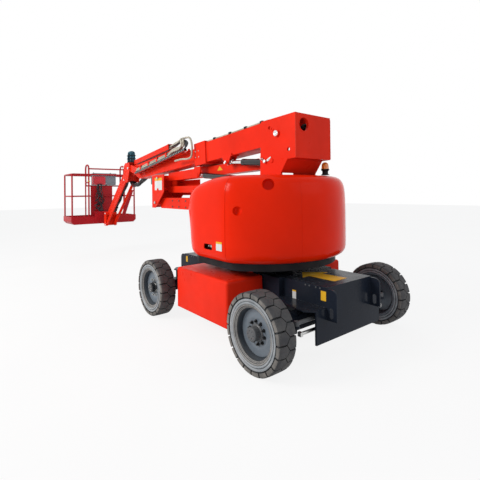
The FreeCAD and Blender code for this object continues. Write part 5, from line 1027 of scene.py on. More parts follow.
# CAD nodes that keep their shape
FINISHES = {
    "chassis_frame": ("grey", 0.004), "axle_front": ("grey", 0.004), "axle_rear": ("grey", 0.004), "slew_ring": ("iron", 0.002),
    "knuckle_left": ("grey", 0.003), "knuckle_right": ("grey", 0.003), "tie_rod": ("mid_grey", 0.001), "steer_barrel": ("black", 0.001),
    # the turntable is matt black as painted shade: it stands in the deep shade under the hood
    "steer_rod": ("steel", 0.001), "battery_boxes": ("red", 0.003), "lift_bracket": ("red", 0.002), "turntable": ("matt", 0.002),
    "counterweight": ("iron", 0.008), "power_unit": ("plate_grey", 0.006), "oil_tank": ("plate_grey", 0.006),
    "lower_arm": ("red", 0.004), "lower_link": ("red", 0.004), "mid_bracket": ("red", 0.003), "upper_arm": ("red", 0.004),
    # the upper link takes the darker basket red as painted shade, for its place on the shaded far side
    "upper_link": ("dark_red", 0.003), "riser_barrel": ("black", 0.002), "riser_rod": ("chrome", 0.001), "tower_head": ("red", 0.004),
    "lift_barrel": ("black", 0.002), "lift_rod": ("chrome", 0.001), "boom_outer": ("red", 0.005), "boom_fly": ("red", 0.004),
    "hose_tube": ("red", 0.002), 
    "jib_head": ("red", 0.003), "jib_arm": ("red", 0.004), "jib_link": ("red", 0.003),
    "platform_bracket": ("red", 0.003), "basket_mount": ("dark_red", 0.003),
    "basket_floor": ("dark_red", 0.002),
}
for node_name, (mat_name, width) in FINISHES.items():
    finish_cad(node_name, mat_name, width)


# Chassis marks and fittings
def chassis_details():
    arrow = [(-0.700, 0.030), (-0.880, 0.224), (-0.876, 0.122), (-1.195, 0.108), (-1.195, -0.104), (-0.894, -0.070),
             (-0.898, -0.170)]
    g = Geo()
    g.xy(arrow, 0.6995, 0.7012)
    g.obj("deck_arrow", "chassis", "yellow", smooth=False)
    front = Geo()
    front.xy([(-x, y) for x, y in arrow], 0.6995, 0.7012)
    w = 0.370
    for s, word in ((1, "left"), (-1, "right")):
        def on_side(x0, x1, z0, z1):
            return [(x0, w * s, z0), (x1, w * s, z0), (x1, w * s, z1), (x0, w * s, z1)]
        lift = (0, 0.0012 * s, 0)
        plate_mark("frame_label_" + word, "chassis", "white", on_side(-0.918, -0.868, 0.512, 0.585), lift)
        plate_mark("frame_label_top_" + word, "chassis", "yellow", on_side(-0.918, -0.868, 0.585, 0.600), lift)
        plate_mark("end_label_" + word, "chassis", "yellow", on_side(-1.292, -1.232, 0.572, 0.662), lift)
        plate_mark("front_label_" + word, "chassis", "yellow", on_side(1.215, 1.262, 0.585, 0.668), lift)
        b = Geo()
        for x in (-1.225, -1.175, -1.095, -1.045):
            p = (x, (w - 0.0005) * s, 0.683)
            b.cyl(p, (x, (w + 0.006) * s, 0.683), 0.0085, 6)
        for x in (1.045, 1.095, 1.175, 1.225):
            b.cyl((x, (w - 0.0005) * s, 0.683), (x, (w + 0.006) * s, 0.683), 0.0085, 6)
        b.obj("frame_bolts_" + word, "chassis", "mid_grey")
        seam = Geo()
        for sx in (-1, 1):
            xs = [sx * (0.90 + 0.012 * i) for i in range(33)]
            line = [(x, (w + 0.002) * s, 0.508 + 0.0012 * math.sin(i * 1.9)) for i, x in enumerate(xs)]
            seam.tube(line, 0.0055, 8, wave=lambda i: 1.0 + 0.22 * math.sin(i * 2.1))
        seam.obj("frame_weld_" + word, "chassis", "mid_grey")
    # hinges of the battery box lids
    for s, word in ((1, "left"), (-1, "right")):
        g = Geo()
        for x in (-0.30, 0.33):
            g.cyl((x - 0.045, 0.4535 * s, 0.7015), (x + 0.045, 0.4535 * s, 0.7015), 0.0075, 14)
        g.obj("box_hinges_" + word, "chassis", "red", angle=30)
    # fittings and hoses of the steering cylinder
    g = Geo()
    for y in (0.10, -0.10):
        g.cyl((-1.10, y, 0.40), (-1.10, y, 0.436), 0.013, 6)
        hose(g, [(-1.10, y, 0.43), (-1.10, y, 0.47), (-1.08, y * 0.8, 0.52), (-1.00, y * 0.4, 0.55), (-0.92, y * 0.2, 0.57)], 0.009)
    g.obj("steer_hoses", "chassis", "hose")


def hub_fittings():
    """Drive motor hoses and fittings on the inner side of the steered knuckles."""
    for s, word in ((1, "left"), (-1, "right")):
        g = Geo()
        x, y, z = -1.024, 0.70 * s, 0.36
        for k, dz in enumerate((0.045, -0.03)):
            p = Vector((x - 0.055, y, z + dz))
            g.cyl(p, p + Vector((-0.035, 0, 0)), 0.014, 6)
            g.cyl(p + Vector((-0.03, 0, 0)), p + Vector((-0.055, 0, 0)), 0.010, 16)
            g.ball(p + Vector((-0.058, 0, 0)), 0.013, 8)
            g.cyl(p + Vector((-0.058, 0, 0)), p + Vector((-0.058, 0, 0.04)), 0.0105, 6)
        g.obj("hub_fittings_" + word, "knuckle_" + word, "steel", angle=35)


chassis_details()


# Tower and booms
BOOM_A, BOOM_B = (-0.5861, 2.3198), (0.4112, 2.2465)
FLY_TUBE_REAR, FLY_TUBE_FRONT = (2.400, 2.428), (3.930, 2.256)


def tower_details():
    for s, word in ((1, "left"), (-1, "right")):
        g = Geo()
        pin_cap(g, (-0.592, 0.3055 * s, 2.240), s, 0.034)
        g.obj("boom_pin_cap_" + word, "tower_head", "chrome", angle=35)
        g = Geo()
        keeper(g, (-0.560, 0.2895 * s, 2.262), s, 0.085, 0.6)
        g.obj("boom_pin_keeper_" + word, "tower_head", "red", angle=35)
    g = Geo()
    pin_cap(g, (-0.402, 0.303, 1.946), 1, 0.021)
    keeper(g, (-0.425, 0.2895, 1.952), 1, 0.075, 2.7)
    p = Vector((-0.352, 0.290, 1.975))
    g.cyl(p, p + Vector((0, 0.012, 0)), 0.016, 6)
    g.cyl(p + Vector((0, 0.010, 0)), p + Vector((0, 0.030, 0)), 0.009, 16)
    g.ball(p + Vector((0, 0.032, 0)), 0.011, 8)
    g.cyl(p + Vector((0, 0.032, 0)), p + Vector((0.030, 0.032, 0.028)), 0.008, 14)
    g.obj("lift_pin_fittings", "tower_head", "steel", angle=35)
    # rim of the rear port and the dark tube end behind it
    g = Geo()
    c = (-0.8600, 0.156, 2.315)
    g.lathe([(0.071, -0.003), (0.079, -0.003), (0.079, 0.003), (0.076, 0.005), (0.071, 0.003)], c, (-1, 0, 0), 48)
    g.obj("port_rim", "tower_head", "red", angle=35)
    g = Geo()
    c = Vector((-0.648, -0.078, 2.322))
    g.solid_lathe([(0, 0.0), (0.044, 0.0), (0.050, 0.006), (0.050, 0.030), (0.040, 0.034), (0.036, 0.024), (0, 0.024)], c, (-1, 0, 0), 40)
    g.cyl(c + Vector((-0.022, 0, 0)), c + Vector((-0.040, 0, 0)), 0.014, 6)
    g.obj("boom_end_plug", "boom_outer", "matt", angle=35)
    # seams of the welded plates
    g = Geo()
    for s in (1, -1):
        line = [(-0.8605, 0.2895 * s, 1.965 + 0.012 * i) for i in range(38)]
        g.tube(line, 0.0035, 8, wave=lambda i: 1.0 + 0.2 * math.sin(i * 2.2))
    g.obj("tower_welds", "tower_head", "weld")


def boom_details():
    g = Geo()
    top = [side(BOOM_A, BOOM_B, d, 0.1475) for d in (0.30, 0.52, 0.80, 1.10, 1.40, 1.60)]
    hose(g, [(x, 0.124, z + 0.0105) for x, z in top], 0.0110)
    g.obj("boom_top_pipe", "boom_outer", "cream")
    g = Geo()
    for d in (0.41, 0.72, 1.05, 1.42):
        bar(g, BOOM_A, BOOM_B, d - 0.024, d + 0.024, -0.1455, 0.176, 0.104, 0.142)
        x, z = side(BOOM_A, BOOM_B, d, 0.176)
        g.cyl((x, 0.124, z - 0.001), (x, 0.124, z + 0.006), 0.007, 6)
    g.obj("boom_pipe_clips", "boom_outer", "matt", bevel=0.002)
    # bead round the front collar and its wear pad screws
    g = Geo()
    for s in (1, -1):
        y = 0.1405 * s
        line = [(*side(BOOM_A, BOOM_B, 1.627, h), y) for h in [-0.14 + 0.01 * i for i in range(29)]]
        g.tube([(x, y, z) for x, z, y in line], 0.0045, 8, wave=lambda i: 1.0 + 0.2 * math.sin(i * 2.3))
    g.obj("collar_weld", "boom_outer", "weld")
    g = Geo()
    for s in (1, -1):
        for d in (1.80, 1.89):
            for h in (-0.045, 0.045):
                x, z = side(BOOM_A, BOOM_B, d, h)
                g.cyl((x, 0.1635 * s, z), (x, 0.171 * s, z), 0.011, 6)
    g.obj("collar_screws", "boom_outer", "steel")
    g = Geo()
    x, z = 0.525, 2.015
    pin_cap(g, (x, 0.1675, z), 1, 0.019)
    g.obj("lift_eye_cap", "boom_outer", "chrome", angle=35)
    tri = [(0.790, 0.0295, 1.925), (0.925, 0.0295, 1.921), (0.858, 0.0295, 1.985)]
    plate_mark("arm_mark", "upper_arm", "yellow", tri, (0, 0.0012, 0))


tower_details()
boom_details()


def fly_details():
    """Conduits, clamps and cable chain that travel with the fly boom."""
    a, b = FLY_TUBE_REAR, FLY_TUBE_FRONT
    tray_a, tray_b = (1.4935, 2.2613), (3.5640, 1.9697)
    length = math.hypot(tray_b[0] - tray_a[0], tray_b[1] - tray_a[1])

    def lane(d, rise, y):
        x, z = side(tray_a, tray_b, d, rise)
        return (x, y, z)

    def over(d, rise, y):
        x, z = side(a, b, d, rise)
        return (x, y, z)

    pale = Geo()
    lanes = ((0.152, 0.066), (0.192, 0.069), (0.172, 0.104))
    for k, (y_lane, up) in enumerate(lanes):
        y = (-0.022, 0.020, 0.0)[k]
        lift = 0.026 if k == 2 else 0.0
        out = 0.030 * k
        route = [over(0.10, -0.020 + lift, y), over(-0.06, -0.018 + lift, y), over(-0.20, -0.004 + lift, y + 0.004),
                 (2.010 - out, y + 0.030, 2.486 + lift * 0.4), (1.850 - out, (y + y_lane) / 2 + 0.01, 2.488 + lift * 0.3),
                 (1.735 - out, y_lane - 0.008, 2.430), (1.715 - out, y_lane, 2.365), (1.790 - out * 0.6, y_lane, 2.315 + lift),
                 lane(0.48, up + 0.030, y_lane), lane(0.64, up, y_lane), lane(0.90, up, y_lane), lane(1.30, up, y_lane),
                 lane(length - 0.10, up, y_lane)]
        ribbed(pale, route, 0.0195)
    pale.obj("conduit_bundle", "boom_fly", "cream", angle=60, stands_for="conduits")
    # tray: two slim rails with rungs and three arms to the boom
    g = Geo()
    for y0, y1 in ((0.129, 0.141), (0.226, 0.238)):
        bar(g, tray_a, tray_b, 0, length, 0.0045, -0.0005, y0, y1)
    n = int(length / 0.165)
    for i in range(n + 1):
        d = 0.004 + (length - 0.036) * i / n
        bar(g, tray_a, tray_b, d, d + 0.028, 0.0040, -0.0010, 0.140, 0.227)
    for d in (0.06, length / 2, length - 0.12):
        bar(g, tray_a, tray_b, d, d + 0.040, 0.004, 0.050, 0.1075, 0.1295)
        bar(g, tray_a, tray_b, d, d + 0.040, 0.0042, 0.0, 0.1075, 0.1400)
    g.obj("tray_ladder", "boom_fly", "red", bevel=0.0006, seg=1, stands_for="cable_tray")
    g = Geo()
    # rear loop that comes out of the collar and goes back along the tray's outer lip
    hose(g, [(2.060, 0.040, 2.470), (1.900, 0.070, 2.498), (1.640, 0.120, 2.492), (1.430, 0.190, 2.452), (1.338, 0.214, 2.370),
             (1.322, 0.216, 2.250), (1.350, 0.217, 2.150), (1.470, 0.218, 2.128), (1.640, 0.218, 2.136), (1.860, 0.218, 2.124)], 0.0155)
    g.obj("fly_return_hose", "boom_fly", "cream")
    g = Geo()
    for k in range(4):
        q = 0.022 * k
        hose(g, [over(0.06, -0.016 - 0.004 * k, 0.030 - q), over(-0.12, -0.020, 0.034 - q * 0.6), (2.020 - q, 0.060, 2.448),
                 (1.820 - q * 1.6, 0.090 + 0.01 * k, 2.446 + 0.004 * k), (1.640 - q * 1.2, 0.150, 2.400), (1.560 - q * 0.5, 0.196, 2.330),
                 (1.575 + q, 0.205, 2.285), lane(0.30 + q, 0.055, 0.207)], 0.0105)
    g.obj("fly_black_loops", "boom_fly", "hose")
    g = Geo()
    # cable chain: side plates in a row with bright studs
    studs = Geo()
    pitch = 0.052
    y0, y1 = 0.1875, 0.2325
    n = int((length - 0.10) / pitch)
    for i in range(n):
        s0 = 0.035 + pitch * i
        drop = 0.002 if i % 2 else 0.0
        for ya, yb in ((y0, y0 + 0.006 + drop), (y1 - 0.006 - drop, y1)):
            pts = [side(tray_a, tray_b, s0 + dx, h) for dx, h in ((0.003, 0.002), (0.050, 0.002), (0.056, 0.012), (0.056, 0.034),
                                                                (0.050, 0.045), (0.003, 0.045), (-0.003, 0.034), (-0.003, 0.012))]
            if i == n - 1:
                pts = [side(tray_a, tray_b, s0 + dx, h) for dx, h in ((0.0, 0.002), (0.046, 0.002), (0.046, 0.045), (0.0, 0.045))]
            g.xz(pts, ya, yb)
        bar(g, tray_a, tray_b, s0 + 0.012, s0 + 0.036, -0.0405, 0.0455, y0 + 0.003, y1 - 0.003)
        bar(g, tray_a, tray_b, s0 + 0.012, s0 + 0.036, -0.0015, 0.0055, y0 + 0.003, y1 - 0.003)
        x, z = side(tray_a, tray_b, s0 + 0.024, 0.024)
        studs.cyl((x, y1 - 0.002, z), (x, y1 + 0.0025, z), 0.0105, 14)
        studs.cyl((x, y1 + 0.002, z), (x, y1 + 0.0045, z), 0.0060, 10)
    for dy in (0.012, 0.026):
        g.tube([lane(0.05, 0.022, y0 + dy + 0.004), lane(length / 2, 0.022, y0 + dy + 0.004), lane(length - 0.08, 0.022, y0 + dy + 0.004)], 0.008, 10)
    g.obj("chain_links", "boom_fly", "hose", stands_for="cable_chain")
    studs.obj("chain_studs", "boom_fly", "steel")
    # red clamps over the conduits
    g = Geo()
    for d in (0.66, 1.02, 1.38, 1.74):
        bar(g, tray_a, tray_b, d, d + 0.058, -0.1225, 0.1290, 0.130, 0.2145)
        bar(g, tray_a, tray_b, d, d + 0.058, -0.0490, 0.1290, 0.2120, 0.2150)
        bar(g, tray_a, tray_b, d, d + 0.058, 0.0, 0.1290, 0.1290, 0.1325)
        x, z = side(tray_a, tray_b, d + 0.029, 0.1285)
        for y in (0.144, 0.200):
            g.cyl((x, y, z - 0.001), (x, y, z + 0.007), 0.007, 6)
    g.obj("conduit_clamps", "boom_fly", "red", bevel=0.0015)
    # collars at the ends of the two hose tubes
    g = Geo()
    for d in (0.0, 1.505):
        for h, t in ((0.0475, 0.0515), (-0.0515, -0.0475)):
            bar(g, a, b, d, d + 0.030, -h, t, -0.0515, 0.0515)
        for y in (-0.0515, 0.0475):
            bar(g, a, b, d, d + 0.030, 0.0515, 0.0515, y, y + 0.004)
    g.obj("tube_collars", "boom_fly", "red", bevel=0.0008)
    # black hoses between the fly boom and its hose tube
    g = Geo()
    for y, h in ((0.052, -0.068), (0.066, -0.076)):
        hose(g, [over(-0.16, h + 0.010, y), over(0.05, h, y), over(0.45, h - 0.004, y), over(0.95, h + 0.002, y), over(1.35, h + 0.006, y)], 0.0075)
    g.obj("fly_black_hoses", "boom_fly", "hose")
    # bolts of the nose and the knuckle ears
    g = Geo()
    for s in (1, -1):
        pin_cap(g, (4.050, 0.1395 * s, 2.140), s, 0.024)
    g.obj("knuckle_pin_caps", "jib_head", "chrome", angle=35)


fly_details()


def knuckle_details():
    """Sleeved hoses standing over the knuckle and the black ones under it."""
    x0, z0 = 4.125, 2.260
    g = Geo()
    for k, y in enumerate((-0.010, 0.020, 0.050, 0.080)):
        r = 0.0165
        grow = (0.0, 0.008, 0.004, -0.006)[k]
        rise = [(-0.068, 0.0), (-0.070, 0.06), (-0.070, 0.12), (-0.066, 0.175), (-0.046, 0.222 + grow), (0.0, 0.238 + grow),
                (0.046, 0.222 + grow), (0.066, 0.175), (0.070, 0.12), (0.070, 0.06), (0.068, 0.0)]
        ribbed(g, [(x0 + dx, y + 0.004 * math.sin(7 * dz + k), z0 + dz) for dx, dz in rise], r, 0.010)
    g.obj("knuckle_sleeves", "jib_head", "teal", angle=60, stands_for="knuckle_hoses")
    g = Geo()
    for dx in (-0.068, 0.068):
        for y in (-0.010, 0.020, 0.050, 0.080):
            g.cyl((x0 + dx, y, z0 - 0.001), (x0 + dx, y, z0 + 0.016), 0.0215, 6)
            g.cyl((x0 + dx, y, z0 + 0.015), (x0 + dx, y, z0 + 0.030), 0.0190, 20)
    for h in (0.085, 0.150):
        g.box(x0 - 0.092, x0 - 0.048, -0.030, 0.100, z0 + h, z0 + h + 0.014)
        g.box(x0 + 0.048, x0 + 0.092, -0.030, 0.100, z0 + h, z0 + h + 0.014)
    g.obj("sleeve_glands", "jib_head", "matt", bevel=0.002)
    g = Geo()
    for k, y in enumerate((-0.060, -0.024, 0.012, 0.048)):
        sag = (0.0, 0.030, 0.012, 0.040)[k]
        hose(g, [(3.470, y, 1.952), (3.560, y, 1.905 - sag * 0.3), (3.700, y * 1.1, 1.862 - sag), (3.880, y * 1.1, 1.812 - sag * 1.5),
                 (4.020, y, 1.800 - sag), (4.120, y, 1.830 - sag * 0.4), (4.174, y, 1.872)], (0.019, 0.015, 0.020, 0.014)[k])
    under = g.obj("knuckle_under_hoses", None, "hose")
    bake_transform(under)
    g = Geo()
    for k, y in enumerate((-0.060, -0.024, 0.012, 0.048)):
        r = (0.019, 0.015, 0.020, 0.014)[k] + 0.003
        g.cyl((3.452, y, 1.962), (3.486, y, 1.944), r, 6)
    g.obj("nose_glands", "boom_fly", "steel", angle=35)
    g = Geo()
    for s in (1, -1):
        pin_cap(g, (4.280, 0.1375 * s, 2.160), s, 0.020)
        pin_cap(g, (4.280, 0.1375 * s, 1.900), s, 0.020)
    g.obj("head_pin_caps", "jib_head", "chrome", angle=35)


def jib_details():
    a, b = (4.280, 2.160), (5.520, 1.120)
    length = math.hypot(b[0] - a[0], b[1] - a[1])

    def at(d, rise, y):
        x, z = side(a, b, d, rise)
        return (x, y, z)

    g = Geo()
    for k, (y, bow) in enumerate(((-0.034, 0.010), (-0.010, 0.030), (0.014, 0.014), (0.036, 0.026))):
        route = [at(0.235, -0.086, y), at(0.31, -0.092, y), at(0.45, -0.096 - bow, y * 1.25), at(0.62, -0.098 - bow * 0.6, y * 1.1), at(0.815, -0.092, y),
                 at(0.98, -0.098 - bow, y * 1.2), at(1.15, -0.096, y), at(1.265, -0.092, y), at(1.36, -0.104 - bow, y * 1.2), at(length - 0.185, -0.092, y)]
        hose(g, route, 0.0135)
    g.obj("jib_hose_bundle", "jib_arm", "hose", stands_for="jib_hoses")
    g = Geo()
    for d in (0.300, 0.800, 1.250):
        bar(g, a, b, d, d + 0.034, 0.112, -0.0695, -0.056, 0.056)
        bar(g, a, b, d, d + 0.034, 0.116, -0.112, -0.040, 0.040)
        for y in (-0.050, 0.050):
            x, z = side(a, b, d + 0.017, -0.112)
            x2, z2 = side(a, b, d + 0.017, -0.120)
            g.cyl((x, y, z), (x2, y, z2), 0.007, 6)
    g.obj("jib_hose_clips", "jib_arm", "matt", bevel=0.002)
    g = Geo()
    for s in (1, -1):
        for d in (0.052, length - 0.052):
            line = [at(d, h, 0.0605 * s) for h in [-0.066 + 0.011 * i for i in range(13)]]
            g.tube(line, 0.004, 8, wave=lambda i: 1.0 + 0.2 * math.sin(i * 2.2))
    g.obj("jib_welds", "jib_arm", "weld")
    g = Geo()
    for s in (1, -1):
        pin_cap(g, (5.520, 0.1375 * s, 1.120), s, 0.020)
        pin_cap(g, (5.520, 0.1375 * s, 0.860), s, 0.020)
    g.obj("carrier_pin_caps", "platform_bracket", "chrome", angle=35)


def mid_details():
    y = 0.2100
    lift = (0, 0.0012, 0)
    plate_mark("bracket_label", "mid_bracket", "white", [(2.345, y, 1.655), (2.625, y, 1.655), (2.625, y, 1.822), (2.345, y, 1.822)], lift)
    plate_mark("bracket_label_top", "mid_bracket", "yellow", [(2.345, y, 1.824), (2.625, y, 1.824), (2.625, y, 1.872), (2.345, y, 1.872)], lift)
    g = Geo()
    g.xz(rounded_outline([(2.748, 1.765), (2.832, 1.765), (2.832, 1.900), (2.748, 1.900)], 0.016), 0.085, 0.188)
    g.obj("lamp_case", "mid_bracket", "lamp", bevel=0.004)
    g = Geo()
    g.xz([(2.735, 1.800), (2.752, 1.800), (2.752, 1.870), (2.735, 1.870)], 0.080, 0.1955)
    for z in (1.812, 1.858):
        g.cyl((2.740, 0.1955, z), (2.740, 0.2015, z), 0.007, 6)
    g.obj("lamp_bracket", "mid_bracket", "red", bevel=0.001)
    g = Geo()
    g.solid_lathe([(0, 0), (0.034, 0), (0.034, 0.006), (0.028, 0.010), (0.012, 0.013), (0, 0.0135)], (2.8315, 0.1365, 1.833), (1, 0, 0), 32)
    g.obj("lamp_lens", "mid_bracket", "white", angle=35)
    for s, word in ((1, "left"), (-1, "right")):
        g = Geo()
        for x, z in ((2.600, 1.435), (2.500, 1.870)):
            pin_cap(g, (x, 0.2195 * s, z), s, 0.022)
        g.obj("bracket_pin_caps_" + word, "mid_bracket", "steel", angle=35)
    # screws of the lower arm's wear plates
    g = Geo()
    a, b = (-0.450, 1.420), (2.600, 1.435)
    for s in (1, -1):
        for d in (2.12, 2.34, 2.56):
            for h in (-0.062, 0.038):
                x, z = side(a, b, d, h)
                g.cyl((x, 0.1295 * s, z), (x, 0.1375 * s, z), 0.014, 6)
    g.obj("lower_arm_screws", "lower_arm", "iron")


def beacon_detail():
    x, y, z = -0.800, -0.270, 1.785
    g = Geo()
    g.solid_lathe([(0, 0), (0.047, 0), (0.047, 0.006), (0.034, 0.010), (0.032, 0.040), (0.040, 0.052), (0.047, 0.058), (0.047, 0.066),
                   (0.042, 0.070), (0, 0.070)], (x, y, z), (0, 0, 1), 40)
    for k in range(3):
        t = 2.1 * k + 0.4
        g.cyl((x + 0.040 * math.cos(t), y + 0.040 * math.sin(t), z + 0.005), (x + 0.040 * math.cos(t), y + 0.040 * math.sin(t), z + 0.011), 0.004, 6)
    g.obj("beacon_base", "turret", "matt", angle=35, stands_for="beacon")
    g = Geo()
    prof = [(0, 0.0695), (0.043, 0.0695), (0.043, 0.074)]
    for k in range(6):
        h = 0.076 + 0.008 * k
        prof += [(0.0425 - 0.0008 * k, h), (0.0410 - 0.0008 * k, h + 0.004)]
    prof += [(0.036, 0.128), (0.028, 0.138), (0.014, 0.146), (0, 0.148)]
    g.solid_lathe(prof, (x, y, z), (0, 0, 1), 48)
    g.obj("beacon_lens", "turret", "amber", angle=50)


# Basket
RX0, RX1, RY = 5.969, 6.671, 0.781
FOOT, TOP_Z, MID_Z, TUBE = 0.920, 2.091, 1.550, 0.019


def rail(g, points, r=TUBE, bend=0.04):
    g.tube(rounded_path(points, bend, 7), r, 16)


def foot(g, x, y):
    """Square shoe at the foot of a post."""
    g.box(x - 0.026, x + 0.026, y - 0.024, y + 0.024, FOOT, FOOT + 0.055)


def basket_details():
    for s, word in ((1, "left"), (-1, "right")):
        y = RY * s
        g = Geo()
        rail(g, [(RX0, y, FOOT), (RX0, y, TOP_Z), (RX1, y, TOP_Z), (RX1, y, FOOT)])
        rail(g, [(RX0, y, MID_Z), (RX1, y, MID_Z)], 0.016)
        for x in (RX0, RX1):
            g.box(x - 0.024, x + 0.024, y - 0.024, y + 0.024, FOOT, FOOT + 0.060)
        g.obj("rail_hoop_" + word, "basket", "dark_red", angle=40, stands_for="rails_" + word)
    inner = RY - 0.010
    g = Geo()
    for z, r in ((TOP_Z, TUBE), (MID_Z, 0.016)):
        rail(g, [(RX1, -inner, z), (RX1, inner, z)], r)
    for y in (-0.270, 0.270):
        rail(g, [(RX1, y, FOOT), (RX1, y, TOP_Z)], 0.016)
        g.box(RX1 - 0.024, RX1 + 0.024, y - 0.022, y + 0.022, FOOT, FOOT + 0.050)
    g.obj("rail_front", "basket", "dark_red", angle=40, stands_for="rails_front")
    g = Geo()
    for z, r in ((TOP_Z, TUBE), (MID_Z, 0.016)):
        rail(g, [(RX0, -inner, z), (RX0, inner, z)], r)
    loop_x, top, shelf = RX0 + 0.260, 2.331, 1.811
    for y in (-0.500, 0.390):
        rail(g, [(RX0, y, FOOT), (RX0, y, top), (loop_x, y, top), (loop_x, y, shelf)], TUBE, 0.125)
        rail(g, [(RX0, y, 1.892), (loop_x, y, 1.892)], 0.016)
        g.box(RX0 - 0.0185, RX0 + 0.024, y - 0.024, y + 0.024, FOOT, FOOT + 0.060)
    rail(g, [(RX0 + 0.004, -0.500, 2.235), (RX0 + 0.004, 0.390, 2.235)], 0.017)
    rail(g, [(loop_x, -0.500, shelf), (loop_x, 0.390, shelf)], 0.017)
    g.yz([(-0.762, 1.700), (-0.672, 1.700), (-0.440, 1.045), (-0.530, 1.045)], RX0 - 0.012, RX0 + 0.012)
    g.obj("rail_rear", "basket", "dark_red", angle=40, stands_for="rails_rear")
    # console: body with a red and a grey half, overhanging lid, controls on its slope
    x0, x1, y0, y1, z0, z1 = 5.988, 6.230, -0.310, 0.270, 1.830, 2.130
    g = Geo()
    g.xz([(x0 + 0.010, z0), (x1 - 0.010, z0), (x1 - 0.010, z1 - 0.110), (x1 - 0.095, z1 - 0.040), (x0 + 0.010, z1 - 0.040)], y0 + 0.010, y1 - 0.010)
    g.obj("console_body", "basket", "box_grey", bevel=0.008, seg=3, stands_for="control_box")
    g = Geo()
    g.xz([(x0, z1 - 0.075), (x0 + 0.012, z1 - 0.075), (x0 + 0.012, z1 - 0.030), (x1 - 0.092, z1 - 0.030), (x1, z1 - 0.100), (x1, z1 - 0.078),
          (x1 - 0.090, z1), (x0, z1)], y0, y1)
    g.obj("console_lid", "basket", "lid", bevel=0.006, seg=3)
    g = Geo()
    g.box(x0 + 0.005, x0 + 0.012, -0.030, y1 - 0.012, z0 + 0.006, z1 - 0.078)
    g.box(x0 + 0.014, x1 - 0.100, y1 - 0.0105, y1 - 0.004, z0 + 0.006, z1 - 0.078)
    g.obj("console_panel_red", "basket", "panel_red", bevel=0.002)
    g = Geo()
    for y, z in ((-0.012, z0 + 0.024), (0.240, z0 + 0.024), (-0.012, z1 - 0.094), (0.240, z1 - 0.094), (-0.050, z0 + 0.030), (-0.288, z0 + 0.030),
                 (-0.050, z1 - 0.094), (-0.288, z1 - 0.094)):
        g.cyl((x0 + 0.0105, y, z), (x0 + 0.0020, y, z), 0.006, 6)
    g.obj("console_screws", "basket", "steel")
    slope = Vector((0.090, 0, -0.078)).normalized()
    out = Vector((0.078, 0, 0.090)).normalized()
    mid = Vector((x1 - 0.045, 0, z1 - 0.039))
    g = Geo()
    for y in (-0.235, 0.195):
        p = mid + Vector((0, y, 0))
        g.solid_lathe([(0, -0.002), (0.030, -0.002), (0.030, 0.004), (0.022, 0.010), (0.024, 0.014), (0.017, 0.020), (0.018, 0.024), (0.011, 0.031),
                       (0.007, 0.034), (0.007, 0.052), (0.012, 0.058), (0.013, 0.074), (0.009, 0.084), (0, 0.086)], p, out, 28)
    for k in range(6):
        p = mid + Vector((0, -0.150 + 0.048 * k, 0)) + slope * (0.016 if k % 2 else -0.012)
        g.cyl(p - out * 0.002, p + out * 0.004, 0.009, 6)
        g.cyl(p + out * 0.003, p + out * 0.020 + slope * 0.006, 0.0032, 10, 0.0045)
    g.obj("console_controls", "basket", "matt", angle=35)
    g = Geo()
    p = mid + Vector((0, 0.130, 0))
    g.solid_lathe([(0, -0.002), (0.022, -0.002), (0.022, 0.004), (0, 0.004)], p, out, 28)
    g.obj("stop_collar", "basket", "yellow", angle=35)
    g = Geo()
    g.solid_lathe([(0, 0.003), (0.010, 0.003), (0.010, 0.012), (0.017, 0.015), (0.018, 0.022), (0.012, 0.027), (0, 0.028)], p, out, 28)
    g.obj("stop_button", "basket", "red", angle=35)
    # dark panel under the console, with its fold and rivets
    g = Geo()
    g.box(5.988, 5.992, -0.200, 0.340, FOOT, 1.800)
    for ya, yb in ((-0.200, -0.188), (0.328, 0.340)):
        g.box(5.9885, 5.996, ya, yb, FOOT, 1.800)
    for z in (1.330, 1.540):
        g.box(5.9865, 5.9885, -0.186, 0.326, z, z + 0.010)
    for y in (-0.180, 0.070, 0.320):
        for z in (0.960, 1.200, 1.440, 1.760):
            g.cyl((5.9885, y, z), (5.9855, y, z), 0.0075, 12)
    g.obj("rear_panel", "basket", "dark_red", bevel=0.0008, stands_for="basket_panel")
    # loose loom between console and carrier
    rnd = random.Random(11)
    g = Geo()
    for k in range(7):
        y0k = 0.000 + 0.035 * k
        sway = [rnd.uniform(-0.050, 0.050) for _ in range(6)]
        depth = [rnd.uniform(0.0, 0.028) for _ in range(6)]
        zs = (1.835, 1.72, 1.58, 1.44, 1.32, 1.24, 1.195)
        pts = [(5.962, 0.060 + 0.018 * k, 1.850)]
        for i, z in enumerate(zs[:-1]):
            pts.append((5.950 - 0.020 * (i > 0) - depth[i], 0.085 + 0.018 * k + sway[i] * (0.4 + 0.4 * i), z))
        pts.append((5.905, 0.030 + 0.022 * k, 1.175))
        hose(g, pts, (0.0085, 0.0105, 0.0070, 0.0120, 0.0080, 0.0100, 0.0090)[k])
    for k in range(3):
        c = Vector((5.930, 0.150 + 0.03 * k, 1.400 - 0.11 * k))
        ring = [c + Vector((0.010 * math.sin(3 * t + k), (0.105 - 0.018 * k) * math.cos(t), (0.070 - 0.008 * k) * math.sin(t)))
                for t in (2 * math.pi * i / 12 for i in range(11))]
        hose(g, ring, 0.0085)
    g.obj("console_loom", "basket", "hose")
    g = Geo()
    for z in (1.60, 1.34):
        g.box(5.905, 5.972, 0.090, 0.215, z, z + 0.016)
    g.obj("loom_straps", "basket", "matt", bevel=0.003)
    # half-round mark on the left loop
    g = Geo()
    pts = [(0.0 + 0.032 * math.cos(math.pi * i / 12), 0.032 * math.sin(math.pi * i / 12)) for i in range(13)]
    g.prism([(RX0 - 0.0185, 0.390 + dy, 1.905 + dz) for dy, dz in pts], (-0.0015, 0, 0))
    g.obj("loop_mark", "basket", "yellow", smooth=False)


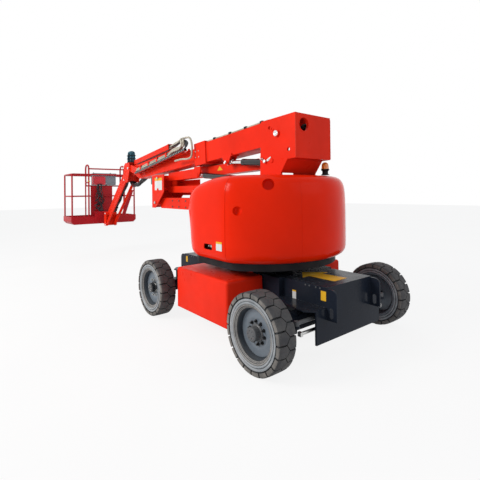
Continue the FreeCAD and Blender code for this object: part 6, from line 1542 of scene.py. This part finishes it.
knuckle_details()
jib_details()
mid_details()
beacon_detail()
basket_details()
hub_fittings()


# Stage
def stage():
    g = bmesh.new()
    bmesh.ops.create_grid(g, x_segments=1, y_segments=1, size=40)
    me = bpy.data.meshes.new("floor")
    g.to_mesh(me)
    g.free()
    ob = bpy.data.objects.new("floor", me)
    bpy.context.scene.collection.objects.link(ob)
    m, nt, b = material("floor_white")
    nt.nodes.remove(b)
    out = nt.nodes["Material Output"]
    diff = nt.nodes.new("ShaderNodeBsdfDiffuse")
    n = noise(nt, 0.8, 3)
    r = ramp(nt, n.outputs["Fac"], [(0.3, (0.74, 0.74, 0.75)), (0.7, (0.80, 0.80, 0.80))])
    nt.links.new(r.outputs[0], diff.inputs[0])
    glow = nt.nodes.new("ShaderNodeEmission")
    glow.inputs[0].default_value = (1, 1, 1, 1)
    both = nt.nodes.new("ShaderNodeMixShader")
    seen = nt.nodes.new("ShaderNodeMath")
    seen.operation = "MULTIPLY"
    seen.inputs[1].default_value = 0.86
    nt.links.new(seen_rays(nt), seen.inputs[0])
    nt.links.new(seen.outputs[0], both.inputs[0])
    nt.links.new(diff.outputs[0], both.inputs[1])
    nt.links.new(glow.outputs[0], both.inputs[2])
    nt.links.new(both.outputs[0], out.inputs[0])
    me.materials.append(m)


stage()
world()
camera()
area_light("key", (0.5, 9.5, 6.0), (-2.4, 0, 1.1), (4, 4), 840, (1.0, 0.97, 0.92))
area_light("fill", (-11.0, -3.0, 5.0), (-2.0, 0, 1.0), (7, 5), 110, (0.95, 0.97, 1.0))
